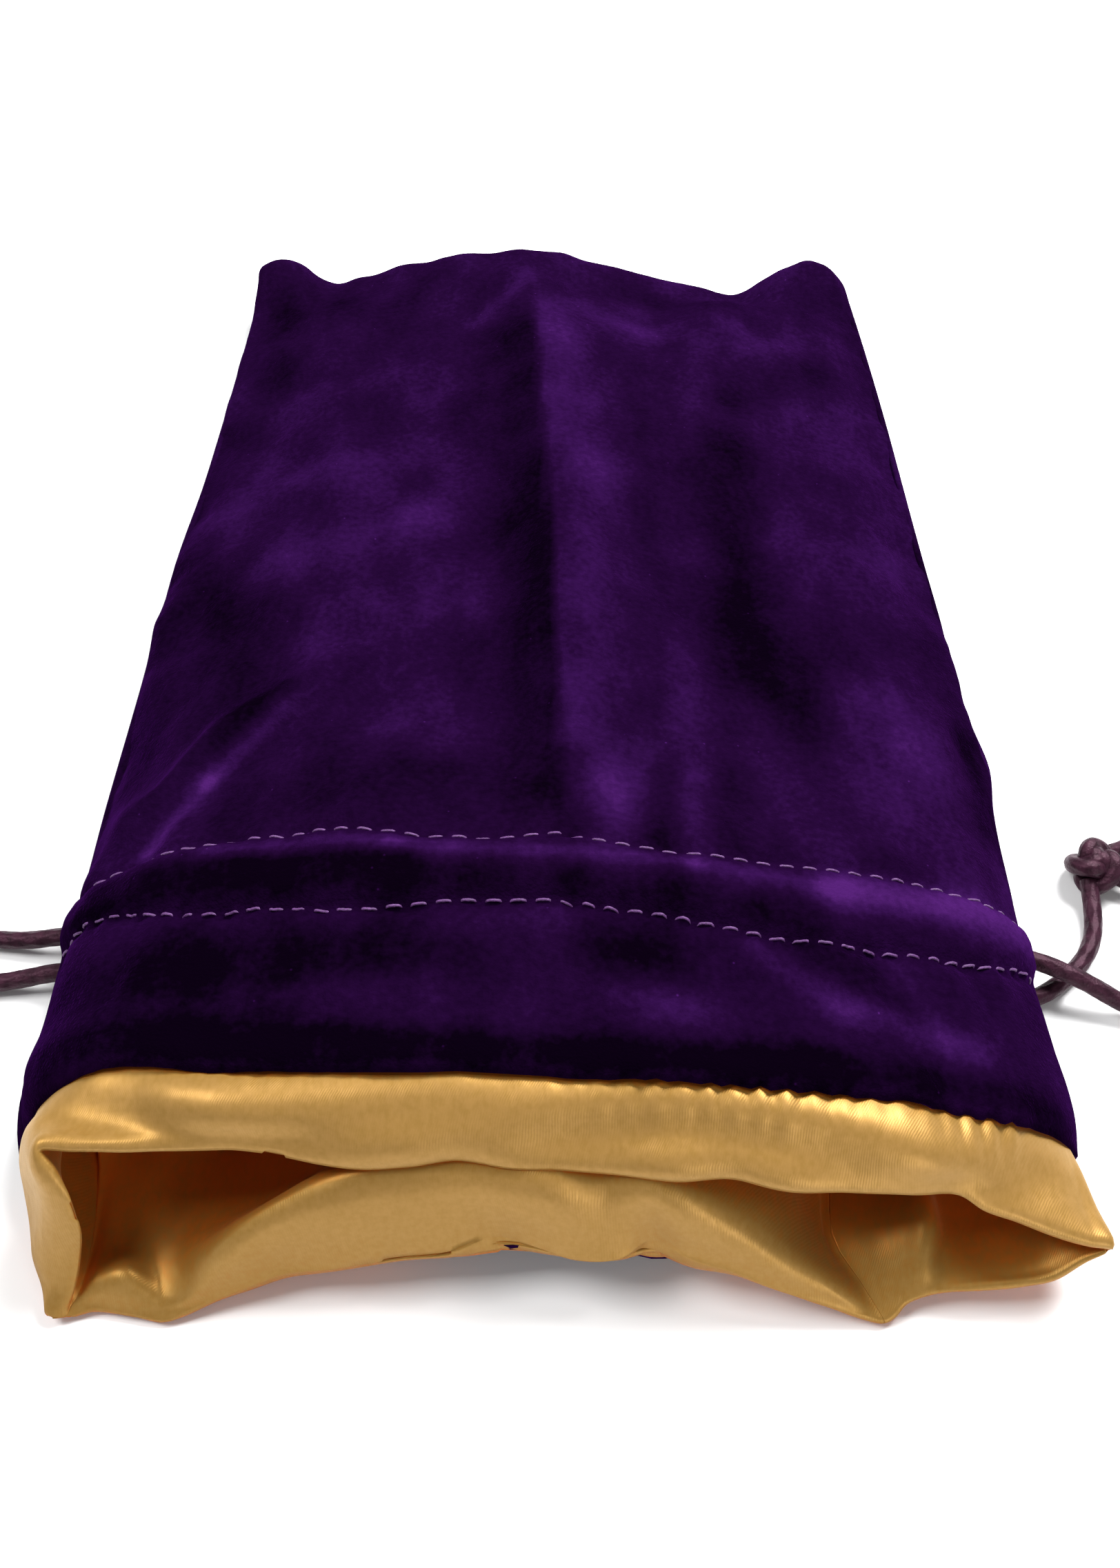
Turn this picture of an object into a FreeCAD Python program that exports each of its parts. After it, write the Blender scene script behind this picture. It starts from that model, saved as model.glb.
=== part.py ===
"""Lined drawstring dice bag, lying flat on its back with its mouth towards -Y.

Two velvet panels are sewn together down both sides and across the bottom. A satin lining of the
same shape hangs inside them and is rolled out over the mouth as a cuff. Two rows of stitches, front
and back, make a channel between velvet and lining. Two cords run round the whole mouth in it: the
ends of one come out on the left and are knotted together, those of the other on the right.

Units are millimetres. +X is to the right, +Y towards the bag's bottom, +Z up, and the origin is
under the middle of the bag on the table.
"""

import FreeCAD
import Part

import math
import os

V = FreeCAD.Vector

# Driving dimensions of the bag
BAG_LENGTH = 210.0
MOUTH_WIDTH = 127.0
BOTTOM_WIDTH = 119.0
VELVET = 1.2
SATIN = 0.4
LAYER_GAP = 0.3
CORD = 2.5
STITCH_PITCH = 3.0
PANEL_STEP = 2.0

FAR_Y = BAG_LENGTH / 2
NEAR_Y = -BAG_LENGTH / 2
FULL_WIDTH_Y = -20.0  # the bag has its full width from here to the mouth

# The back panel lies flat on the table, and curves up to the side and bottom seams
FLAT_HALF = 46.0
SIDE_RADIUS = 30.0
TAIL_Y = 88.0
TAIL_RISE = 4.5
SEAM_GAP = 0.7

# The front panel is an arch, highest at the mouth
MOUTH_CROWN = 28.0
CROWN_SLOPE = 0.066
END_FALL_Y = 78.0
END_SEAM_DROP = 3.4

# The mouth
VELVET_EDGE_FRONT = -91.0
VELVET_EDGE_BACK = -93.2
CUFF_TIP_FRONT = -99.3
CUFF_THICK = 2.2
CUFF_FALL = 6.5
PLY_GAP = 0.2  # between two pieces that are sewn edge to edge
CUFF_INSET = 2.5
EDGE_LIFT = 0.05  # the curved ends of the back hang just clear of the table
SPLICE = 0.05  # between solids that are one cloth
TRIM_SPARE = 0.6
LINING_SEAM_END = 70.0
ARCH_START_Y = -70.0
ARCH_HEIGHT = 13.0
ARCH_HALF_WIDTH = 19.0

# The lip is the part of the front in front of the channel, which lifts to open the mouth
LIP_HALF = 44.0
LIP_SIDES = (-LIP_HALF, LIP_HALF)
LIP_HINGE_Y = -68.5
LIP_GAP = 1.0
SEAM_FRONT_END = VELVET_EDGE_FRONT + 1.0
SEAM_BACK_END = VELVET_EDGE_BACK + 1.0

# The channel and the cords in it
CHANNEL_Y = -60.0
CHANNEL_HALF = 5.0
FRONT_PUFF = 3.3
BACK_PUFF = 4.9
BACK_PUFF_HALF = 6.8
PUFF_EDGE = 3.2
CHANNEL_END = 54.0  # the side seams are left open outside this, for the cords
LINING_INSET = 3.0
LINING_WINDOW = 43.0
EXIT_HALF = 6.6
RUN_OFFSET = 1.45  # each cord's own run is this far from the channel's middle
RETURN_OFFSET = 4.1  # its other end comes out this far on the other side
RUN_Z = 4.6
STUB_X = 28.0  # the cord ends that pull out start here
BIGHT_X = 48.0
FRONT_RUN_X = 50.0

# The knots
KNOT_R = 4.2
KNOT_FLAT = 1.0
KNOT_HALF_HEIGHT = 3.1
RIGHT_KNOT = V(77.6, -43.4, KNOT_HALF_HEIGHT)
LEFT_KNOT = V(-93.5, -58.0, KNOT_HALF_HEIGHT)


def ramp(t):
    """0 before 0, 1 after 1, and smooth between."""
    t = min(1.0, max(0.0, t))
    return t * t * (3 - 2 * t)


def half_width(y):
    share = min(1.0, max(0.0, (y - FULL_WIDTH_Y) / (FAR_Y - FULL_WIDTH_Y)))
    return (MOUTH_WIDTH - (MOUTH_WIDTH - BOTTOM_WIDTH) * share) / 2


def back_at(x, y, offset):
    """Height of the surface that lies an offset inside the back panel's outside."""
    past = max(0.0, abs(x) - FLAT_HALF)
    radius = SIDE_RADIUS - offset
    side = SIDE_RADIUS - math.sqrt(radius * radius - past * past)
    tail = TAIL_RISE * ramp((y - TAIL_Y) / (FAR_Y - TAIL_Y))
    arch = ARCH_HEIGHT * math.exp(-((x / ARCH_HALF_WIDTH) ** 2))
    return side + tail + arch * ramp((ARCH_START_Y - y) / (ARCH_START_Y - NEAR_Y))


def front_at(x, y):
    """Height of the front panel's outside, without the channel's puff."""
    half = half_width(y)
    edge = back_at(half, max(y, ARCH_START_Y), VELVET) + SEAM_GAP + VELVET
    crown = MOUTH_CROWN - CROWN_SLOPE * (max(y, VELVET_EDGE_FRONT) - VELVET_EDGE_FRONT)
    fall = max(0.0, (y - END_FALL_Y) / (FAR_Y - END_FALL_Y)) ** 2.2
    crown += (edge - END_SEAM_DROP - crown) * fall
    over = max(0.0, (VELVET_EDGE_FRONT - y) / (VELVET_EDGE_FRONT - CUFF_TIP_FRONT))
    share = x / half
    return edge + (crown - edge) * (1 - share**2) - CUFF_FALL * (1 - share**4) * over * over


def puff(y, height, half):
    """The swelling of a layer over the cords."""
    return height * ramp((half + PUFF_EDGE / 2 - abs(y - CHANNEL_Y)) / PUFF_EDGE)


def front_velvet_top(x, y):
    return front_at(x, y) + puff(y, FRONT_PUFF, CHANNEL_HALF - PUFF_EDGE / 2)


def front_lining_top(x, y):
    return front_at(x, y) - VELVET - LAYER_GAP


def back_lining_bottom(x, y):
    return back_at(x, y, VELVET + LAYER_GAP) + puff(y, BACK_PUFF, BACK_PUFF_HALF)


def back_lining_top(x, y):
    return back_lining_bottom(x, y) + SATIN


def spread(low, high, step):
    """Even places from low to high, about a step apart."""
    count = max(2, round((high - low) / step))
    return [low + (high - low) * i / count for i in range(count + 1)]


def spline_face(grid):
    surface = Part.BSplineSurface()
    surface.interpolate(grid)
    return surface


def sheet(places, left, right, bottom, top, columns=17):
    """A thin closed solid between two height functions of x and y."""
    grids = []
    for height in (bottom, top):
        grid = []
        for y in places:
            x0, x1 = left(y), right(y)
            xs = [x0 + (x1 - x0) * i / (columns - 1) for i in range(columns)]
            grid.append([V(x, y, height(x, y)) for x in xs])
        grids.append(grid)
    low, high = (spline_face(g) for g in grids)
    faces = [low.toShape(), high.toShape()]
    u0, u1, v0, v1 = low.bounds()
    s0, s1, t0, t1 = high.bounds()
    pairs = [
        (low.uIso(u0), high.uIso(s0)),
        (low.uIso(u1), high.uIso(s1)),
        (low.vIso(v0), high.vIso(t0)),
        (low.vIso(v1), high.vIso(t1)),
    ]
    for a, b in pairs:
        faces.append(Part.makeRuledSurface(a.toShape(), b.toShape()))
    shell = Part.makeShell(faces)
    shell.sewShape()
    solid = Part.makeSolid(shell)
    if solid.Volume < 0:
        solid.reverse()
    return solid


def box(x0, x1, y0, y1, z0=-5.0, z1=60.0):
    return Part.makeBox(x1 - x0, y1 - y0, z1 - z0, V(x0, y0, z0))


def symmetric(inset=0.0):
    """The sides of a strip as wide as the mouth, less an inset on each hand."""
    return between(inset - MOUTH_WIDTH / 2, MOUTH_WIDTH / 2 - inset)


def untrimmed(inset=0.0):
    """The same, but a little wider, for a panel whose sides are trimmed afterwards."""
    return symmetric(inset - TRIM_SPARE)


def between(x0, x1):
    return (lambda y: x0), (lambda y: x1)


def exits(start):
    """The spaces at the channel's two ends where the side seams are left open."""
    low, high = CHANNEL_Y - EXIT_HALF, CHANNEL_Y + EXIT_HALF
    return [box(start, MOUTH_WIDTH, low, high), box(-MOUTH_WIDTH, -start, low, high)]


def lip_notch():
    """The place of the lifting lip in the fixed front."""
    half = LIP_HALF + LIP_GAP
    return box(-half, half, NEAR_Y - 1, LIP_HINGE_Y + LIP_GAP)


def velvet_front_panel():
    panel = sheet(
        spread(VELVET_EDGE_FRONT, FAR_Y, PANEL_STEP),
        *untrimmed(),
        lambda x, y: front_velvet_top(x, y) - VELVET,
        front_velvet_top,
    )
    return panel.cut([lip_notch(), *side_trims(), *exits(CHANNEL_END)])


def back_profile(half):
    """The cross-section of the flat back panel: a floor with a side curving up on each hand."""
    outer, inner = SIDE_RADIUS, SIDE_RADIUS - VELVET
    past = half - FLAT_HALF

    def on_arc(radius, share, hand):
        reach = past * share
        height = SIDE_RADIUS - math.sqrt(radius * radius - reach * reach)
        return V(hand * (FLAT_HALF + reach), 0, height)

    points = {}
    for name, radius in (("out", outer), ("in", inner)):
        for hand in (-1, 1):
            points[name, hand] = [on_arc(radius, share, hand) for share in (0, 0.5, 1)]
    out_left, out_right = points["out", -1], points["out", 1]
    in_left, in_right = points["in", -1], points["in", 1]
    edges = [
        Part.Arc(*reversed(out_left)).toShape(),
        Part.LineSegment(out_left[0], out_right[0]).toShape(),
        Part.Arc(*out_right).toShape(),
        Part.LineSegment(out_right[2], in_right[2]).toShape(),
        Part.Arc(*reversed(in_right)).toShape(),
        Part.LineSegment(in_right[0], in_left[0]).toShape(),
        Part.Arc(*in_left).toShape(),
        Part.LineSegment(in_left[2], out_left[2]).toShape(),
    ]
    return Part.Face(Part.Wire(edges))


def side_trims(inset=0.0, start=NEAR_Y - 1):
    """What lies outside the sides of a panel that ends this far inside the side seams."""
    trims = []
    for hand in (-1, 1):
        corners = [
            V(hand * (half_width(start) - inset), start, -5),
            V(hand * (half_width(FULL_WIDTH_Y) - inset), FULL_WIDTH_Y, -5),
            V(hand * (half_width(FAR_Y) - inset), FAR_Y, -5),
            V(hand * MOUTH_WIDTH, FAR_Y, -5),
            V(hand * MOUTH_WIDTH, start, -5),
        ]
        if start == FULL_WIDTH_Y:
            corners.pop(0)
        face = Part.Face(Part.makePolygon([*corners, corners[0]]))
        trims.append(face.extrude(V(0, 0, 60)))
    return trims


def stitch_grooves():
    """The rows that the channel's stitches pull into the underside."""
    half, width, depth = LIP_HALF, 1.2, 0.55
    return [
        box(-half, half, y - width / 2, y + width / 2, -1, depth) for y in stitch_lines()
    ]


def velvet_back_panel():
    """The flat middle, which the bag rests on, and the curved ends that are one cloth with it."""
    middle = back_profile(MOUTH_WIDTH / 2).extrude(V(0, TAIL_Y - ARCH_START_Y, 0))
    middle.translate(V(0, ARCH_START_Y, 0))
    taper = side_trims(start=FULL_WIDTH_Y)
    middle = middle.cut([*taper, *exits(CHANNEL_END), *stitch_grooves()])
    stretches = [
        spread(VELVET_EDGE_BACK, ARCH_START_Y - SPLICE, 4.0),
        spread(TAIL_Y + SPLICE, FAR_Y, 3.0),
    ]
    ends = [
        sheet(
            places,
            *untrimmed(),
            lambda x, y: back_at(x, y, 0) + EDGE_LIFT,
            lambda x, y: back_at(x, y, VELVET) + EDGE_LIFT,
            columns=25,
        )
        for places in stretches
    ]
    return Part.makeCompound([middle, *[end.cut(side_trims()) for end in ends]])


def lining_front_panel():
    panel = sheet(
        spread(VELVET_EDGE_FRONT, FAR_Y - 1.5, PANEL_STEP),
        *untrimmed(LINING_INSET),
        lambda x, y: front_lining_top(x, y) - SATIN,
        front_lining_top,
    )
    return panel.cut([lip_notch(), *side_trims(LINING_INSET), *exits(LINING_WINDOW)])


def lining_back_panel():
    panel = sheet(
        spread(VELVET_EDGE_BACK, FAR_Y - 1.5, PANEL_STEP),
        *untrimmed(LINING_INSET),
        back_lining_bottom,
        back_lining_top,
        columns=25,
    )
    return panel.cut([*side_trims(LINING_INSET), *exits(LINING_WINDOW)])


def satin_cuff_back():
    """The lining rolled over the back half of the mouth."""
    return sheet(
        spread(NEAR_Y, VELVET_EDGE_BACK - PLY_GAP, 2.4),
        *symmetric(CUFF_INSET),
        lambda x, y: back_at(x, y, 0) + EDGE_LIFT,
        lambda x, y: back_at(x, y, CUFF_THICK),
        columns=25,
    )


def front_strip(low, high, sides, drop, thick, columns=17):
    """A piece of the front at the mouth, this far below its outside."""
    return sheet(
        spread(low, high, 1.6),
        *between(*sides),
        lambda x, y: front_at(x, y) - drop - thick,
        lambda x, y: front_at(x, y) - drop,
        columns,
    )


def satin_cuff_corners():
    """The cuff's two fixed corners, beside the lip."""
    near, far = LIP_HALF + LIP_GAP, MOUTH_WIDTH / 2 - CUFF_INSET
    stretch = (CUFF_TIP_FRONT, VELVET_EDGE_FRONT - PLY_GAP)
    return Part.makeCompound(
        [front_strip(*stretch, side, 0, VELVET, 7) for side in ((near, far), (-far, -near))]
    )


def satin_cuff_front():
    """The cuff on the lip."""
    stretch = (CUFF_TIP_FRONT, VELVET_EDGE_FRONT - PLY_GAP)
    return front_strip(*stretch, LIP_SIDES, 0, CUFF_THICK)


def velvet_front_lip():
    return front_strip(VELVET_EDGE_FRONT, LIP_HINGE_Y, LIP_SIDES, 0, VELVET)


def lining_front_lip():
    return front_strip(VELVET_EDGE_FRONT, LIP_HINGE_Y, LIP_SIDES, VELVET + LAYER_GAP, SATIN)


def mouth_seam_front():
    """The thread that joins velvet and lining along the lip's edge, between the two."""
    return front_strip(VELVET_EDGE_FRONT, SEAM_FRONT_END, LIP_SIDES, VELVET + 0.05, 0.2)


def mouth_seam_back():
    """The same thread along the back edge of the mouth."""
    return sheet(
        spread(VELVET_EDGE_BACK, SEAM_BACK_END, 0.5),
        *symmetric(LINING_INSET),
        lambda x, y: back_at(x, y, VELVET + EDGE_LIFT) + 0.05,
        lambda x, y: back_at(x, y, VELVET + EDGE_LIFT) + 0.2,
        columns=25,
    )


def seam_strips(hand, insets, clear, end, bottom, top):
    """A seam down one side in two lengths, one each side of the channel.

    insets are its edges' distances inside the side, and clear its distance from the channel's
    middle.
    """
    outer, inner = insets
    sides = [
        lambda y: hand * (half_width(y) - (inner if hand > 0 else outer)),
        lambda y: hand * (half_width(y) - (outer if hand > 0 else inner)),
    ]
    stretches = [(VELVET_EDGE_FRONT, CHANNEL_Y - clear), (CHANNEL_Y + clear, end)]
    return [sheet(spread(a, b, 3.0), *sides, bottom, top, 4) for a, b in stretches]


def side_seam(hand):
    """The thread that joins the velvet panels down one side, open at the channel."""
    margin = 0.15

    def bottom(x, y):
        return back_at(x, max(y, ARCH_START_Y), VELVET) + margin

    def top(x, y):
        return bottom(x, y) + SEAM_GAP - 2 * margin

    strips = seam_strips(hand, (0.4, 1.5), EXIT_HALF, FAR_Y - 2.0, bottom, top)
    return Part.makeCompound(strips)


def lining_side_seams():
    """The thread that joins the lining's own two panels, open at the channel."""
    margin = 0.4
    insets = (LINING_INSET + 0.3, LINING_INSET + 1.2)
    clear = BACK_PUFF_HALF + PUFF_EDGE / 2 + 0.2

    def bottom(x, y):
        return back_lining_top(x, y) + margin

    def top(x, y):
        return front_lining_top(x, y) - SATIN - margin

    left = seam_strips(-1, insets, clear, LINING_SEAM_END, bottom, top)
    right = seam_strips(1, insets, clear, LINING_SEAM_END, bottom, top)
    return Part.makeCompound(left + right)


def bottom_seam():
    """The row of thread across the bag's bottom."""
    places = [FAR_Y - 1.3, FAR_Y - 0.9, FAR_Y - 0.4]
    margin = 0.15
    return sheet(
        places,
        *symmetric(3.0),
        lambda x, y: back_at(x, y, VELVET) + margin,
        lambda x, y: min(
            back_at(x, y, VELVET) + SEAM_GAP - margin,
            front_at(x, y) - VELVET - margin,
        ),
        columns=25,
    )


def stitch_lines():
    return [CHANNEL_Y - CHANNEL_HALF, CHANNEL_Y + CHANNEL_HALF]


def stitches(height, half):
    """Two rows of visible stitches, one short thread each, that follow a height function."""
    radius, length = 0.2, 2.1
    count = int(half / STITCH_PITCH)
    threads = []
    for y in stitch_lines():
        for i in range(-count, count + 1):
            x = i * STITCH_PITCH
            start = V(x - length / 2, y, height(x - length / 2, y))
            end = V(x + length / 2, y, height(x + length / 2, y))
            threads.append(Part.makeCylinder(radius, length, start, end - start))
    return Part.makeCompound(threads)


def channel_stitches_front():
    proud = 0.5
    return stitches(lambda x, y: front_at(x, y) + proud, CHANNEL_END - STITCH_PITCH)


def channel_stitches_back():
    in_groove = 0.28
    return stitches(lambda x, y: in_groove, LIP_HALF - STITCH_PITCH)


def cord_in_channel(hand):
    """The hidden part of one cord: over the front, round the far side and back along the back.

    hand is the side where this cord comes out.
    """
    y = CHANNEL_Y + hand * RUN_OFFSET

    def on_front(x):
        lift = (FRONT_PUFF - VELVET - VELVET - LAYER_GAP) / 2
        return V(hand * x, y, front_at(x, y) + lift)

    first, middle, last = on_front(FRONT_RUN_X), on_front(0), on_front(-BIGHT_X)
    front = Part.Arc(first, middle, last)
    away = front.tangent(front.LastParameter)[0].normalize()
    turn = math.asin(abs(away.z))
    radius = (last.z - RUN_Z) / (1 + math.cos(turn))
    centre = last + V(hand * math.sin(turn), 0, -math.cos(turn)) * radius
    bottom = V(centre.x, y, centre.z - radius)
    lean = (math.pi - turn) / 2
    side = centre + V(-hand * math.sin(lean), 0, -math.cos(lean)) * radius
    stop = V(hand * (STUB_X - 0.1), y, bottom.z)
    path = Part.Wire(
        [
            front.toShape(),
            Part.Arc(last, side, bottom).toShape(),
            Part.LineSegment(bottom, stop).toShape(),
        ]
    )
    return tube(path, first, front.tangent(front.FirstParameter)[0])


def tube(path, start, direction):
    ring = Part.Wire(Part.makeCircle(CORD / 2, start, direction))
    return path.makePipeShell([ring], True, False)


def rounded_path(points):
    """Straight runs joined by arcs that touch them, each as large as its two runs allow."""
    edges, last, tightest = [], points[0], 1e9
    for before, corner, after in zip(points, points[1:], points[2:]):
        come, go = corner - before, after - corner
        shorter = min(come.Length, go.Length)
        come.normalize()
        go.normalize()
        half_turn = come.getAngle(go) / 2
        reach = 0.45 * shorter
        tightest = min(tightest, reach / math.tan(half_turn))
        begin, end = corner - come * reach, corner + go * reach
        radius = reach / math.tan(half_turn)
        inward = (go - come).normalize()
        middle = corner + inward * (radius / math.cos(half_turn) - radius)
        edges.append(Part.LineSegment(last, begin).toShape())
        edges.append(Part.Arc(begin, middle, end).toShape())
        last = end
    edges.append(Part.LineSegment(last, points[-1]).toShape())
    return Part.Wire(edges), tightest


# The free cords' routes, from inside the channel out to the knot
RIGHT_LONG_ROUTE = [
    V(28.0, -58.55, 4.6),
    V(38.0, -58.45, 4.65),
    V(48.0, -58.6, 4.7),
    V(57.0, -58.7, 4.8),
    V(64.5, -60.3, 5.3),
    V(71.2, -63.2, 4.4),
    V(77.8, -66.2, 1.7),
    V(85.0, -67.4, 1.35),
    V(91.8, -64.4, 1.4),
    V(94.3, -57.4, 1.35),
    V(91.2, -50.7, 1.4),
    V(85.2, -46.9, 1.6),
    V(79.6, -44.3, 2.8),
]
RIGHT_SHORT_ROUTE = [
    V(28.0, -64.1, 4.6),
    V(38.5, -64.25, 4.6),
    V(49.0, -64.1, 4.6),
    V(58.0, -63.9, 3.9),
    V(65.0, -61.2, 1.9),
    V(68.2, -56.4, 1.35),
    V(71.2, -51.2, 1.4),
    V(75.2, -45.6, 2.6),
]
LEFT_LONG_ROUTE = [
    V(-28.0, -61.45, 4.6),
    V(-38.0, -61.55, 4.6),
    V(-48.0, -61.4, 4.65),
    V(-58.0, -61.5, 4.6),
    V(-66.0, -61.2, 3.3),
    V(-73.0, -61.8, 1.6),
    V(-80.5, -62.6, 1.35),
    V(-87.2, -61.2, 1.6),
    V(-92.0, -58.9, 2.8),
]
LEFT_SHORT_ROUTE = [
    V(-28.0, -55.9, 4.6),
    V(-38.0, -55.8, 4.6),
    V(-48.0, -55.95, 4.65),
    V(-58.0, -55.85, 4.6),
    V(-66.0, -55.4, 3.3),
    V(-73.0, -55.3, 1.6),
    V(-80.2, -54.2, 1.35),
    V(-87.0, -55.0, 1.6),
    V(-92.0, -57.2, 2.8),
]
RIGHT_TAILS = [
    [V(79.0, -41.2, 2.4), V(83.4, -38.6, 1.4), V(88.4, -37.0, 1.3)],
    [V(79.4, -42.8, 2.4), V(84.6, -42.2, 1.4), V(90.0, -42.6, 1.3)],
]
LEFT_TAILS = [
    [V(-95.0, -56.6, 2.4), V(-100.0, -55.0, 1.4), V(-105.0, -54.4, 1.3)],
    [V(-95.0, -59.4, 2.4), V(-99.8, -60.6, 1.4), V(-104.0, -62.2, 1.3)],
]


def knot(centre):
    """A knot's outer shape: a round cushion that lies on the table on a small flat."""
    low, high = V(KNOT_FLAT, 0, -KNOT_HALF_HEIGHT), V(KNOT_FLAT, 0, KNOT_HALF_HEIGHT)
    foot, top = V(0, 0, -KNOT_HALF_HEIGHT), V(0, 0, KNOT_HALF_HEIGHT)
    edges = [
        Part.LineSegment(foot, low).toShape(),
        Part.Arc(low, V(KNOT_R, 0, 0), high).toShape(),
        Part.LineSegment(high, top).toShape(),
        Part.LineSegment(top, foot).toShape(),
    ]
    solid = Part.Face(Part.Wire(edges)).revolve(V(0, 0, 0), V(0, 0, 1), 360)
    solid.translate(centre)
    return solid


def strand(route, name, stop):
    """One free end of a cord, up to the face of its knot."""
    path, tightest = rounded_path(route)
    solid = tube(path, route[0], route[1] - route[0])
    section = math.pi * CORD * CORD / 4
    off = solid.Volume / (section * path.Length) - 1
    print(f"{name}: {path.Length:.1f} mm, tightest arc {tightest:.1f} mm, volume off by {off:.2%}")
    return solid.cut(stop)


def tails(routes, name, stop):
    """The two short ends that stand out of a knot."""
    return Part.makeCompound([strand(route, name, stop) for route in routes])


def build():
    right, left = knot(RIGHT_KNOT), knot(LEFT_KNOT)
    return {
        "velvet_front_panel": velvet_front_panel(),
        "velvet_back_panel": velvet_back_panel(),
        "lining_front_panel": lining_front_panel(),
        "lining_back_panel": lining_back_panel(),
        "satin_cuff_back": satin_cuff_back(),
        "satin_cuff_corners": satin_cuff_corners(),
        "side_seam_left": side_seam(-1),
        "side_seam_right": side_seam(1),
        "bottom_seam": bottom_seam(),
        "lining_side_seams": lining_side_seams(),
        "mouth_seam_back": mouth_seam_back(),
        "channel_stitches_front": channel_stitches_front(),
        "channel_stitches_back": channel_stitches_back(),
        "cord_left_in_channel": cord_in_channel(-1),
        "cord_right_in_channel": cord_in_channel(1),
        "velvet_front_lip": velvet_front_lip(),
        "lining_front_lip": lining_front_lip(),
        "satin_cuff_front": satin_cuff_front(),
        "mouth_seam_front": mouth_seam_front(),
        "cord_right_long_end": strand(RIGHT_LONG_ROUTE, "right long end", right),
        "cord_right_short_end": strand(RIGHT_SHORT_ROUTE, "right short end", right),
        "cord_right_tails": tails(RIGHT_TAILS, "right tail", right),
        "knot_right": right,
        "cord_left_long_end": strand(LEFT_LONG_ROUTE, "left long end", left),
        "cord_left_short_end": strand(LEFT_SHORT_ROUTE, "left short end", left),
        "cord_left_tails": tails(LEFT_TAILS, "left tail", left),
        "knot_left": left,
    }


os.makedirs("parts", exist_ok=True)
for name, shape in build().items():
    solids = shape.Solids
    good = shape.isValid() and solids and all(s.Volume > 0 for s in solids)
    size = shape.optimalBoundingBox(True, False)
    print(
        f"{name}: {len(solids)} solid(s), valid {bool(good)}, volume {shape.Volume:.1f},"
        f" x {size.XMin:.2f}..{size.XMax:.2f}, y {size.YMin:.2f}..{size.YMax:.2f},"
        f" z {size.ZMin:.2f}..{size.ZMax:.2f}"
    )
    shape.exportStep(f"parts/{name}.step")
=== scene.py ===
"""Looks of a drawstring dice bag: velvet shell, gold satin lining, cord channel, cords and knots.

Shapes are worked out in millimetres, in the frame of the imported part, and stored in metres. The
camera and lights are placed in metres.
"""

import math

import bpy
import numpy as np
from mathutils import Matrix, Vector, noise


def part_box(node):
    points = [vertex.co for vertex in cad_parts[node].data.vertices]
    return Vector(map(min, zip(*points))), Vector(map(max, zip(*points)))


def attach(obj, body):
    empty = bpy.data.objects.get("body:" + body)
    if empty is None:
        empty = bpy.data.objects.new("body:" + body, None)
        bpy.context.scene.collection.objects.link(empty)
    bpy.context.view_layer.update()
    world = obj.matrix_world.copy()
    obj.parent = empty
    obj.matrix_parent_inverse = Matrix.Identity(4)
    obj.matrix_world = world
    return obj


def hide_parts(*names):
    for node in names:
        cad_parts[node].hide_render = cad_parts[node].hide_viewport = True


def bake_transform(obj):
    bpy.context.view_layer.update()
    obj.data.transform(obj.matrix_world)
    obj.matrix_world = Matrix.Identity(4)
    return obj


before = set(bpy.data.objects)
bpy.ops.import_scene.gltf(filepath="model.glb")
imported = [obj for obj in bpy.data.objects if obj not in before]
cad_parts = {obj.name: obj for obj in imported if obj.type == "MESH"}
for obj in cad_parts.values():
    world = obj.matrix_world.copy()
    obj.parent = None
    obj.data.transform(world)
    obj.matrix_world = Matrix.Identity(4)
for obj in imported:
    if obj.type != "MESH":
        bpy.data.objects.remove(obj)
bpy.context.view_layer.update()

MM = 0.001
FAR_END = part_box("velvet_back_panel")[1].y / MM  # where the sewn bottom is
MOUTH_ROW = -91.0  # the velvet's first row, before it is moved onto its seam
CHANNEL = -61.0  # the middle of the cord channel
CORD = 2.5  # cord's diameter
VELVET, SATIN = 1.0, 0.25  # thickness of the cloths
STITCH_PITCH = 3.0
SEED_STEP = (7.3, 3.1, 5.7)  # the noises of two seeds are read this far apart
SPAN_EVENING = 0.6  # under 1, the spans of a ring are timed more evenly than they are long


# ---- small tools ----


def ramp(t):
    """0 to 1, smoothly, as t goes from 0 to 1."""
    t = np.clip(t, 0.0, 1.0)
    return t * t * (3.0 - 2.0 * t)


def bump(x, centre, width):
    """A soft bump of height 1."""
    return np.exp(-(((x - centre) / width) ** 2))


def spline(knots, values, t):
    """A smooth curve through values at knots, read at t. It doesn't wrap round."""
    knots, values = np.asarray(knots, float), np.asarray(values, float)
    slopes = np.gradient(values, knots, axis=0)
    i = np.clip(np.searchsorted(knots, t, side="right") - 1, 0, len(knots) - 2)
    width = knots[i + 1] - knots[i]
    u = np.clip((t - knots[i]) / width, 0.0, 1.0)
    if values.ndim > 1:
        shape = u.shape + (1,) * (values.ndim - 1)
        u, width = u.reshape(shape), width.reshape(shape)
    low = (2 * u**3 - 3 * u**2 + 1) * values[i] + (u**3 - 2 * u**2 + u) * width * slopes[i]
    high = (3 * u**2 - 2 * u**3) * values[i + 1] + (u**3 - u**2) * width * slopes[i + 1]
    return low + high


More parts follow.
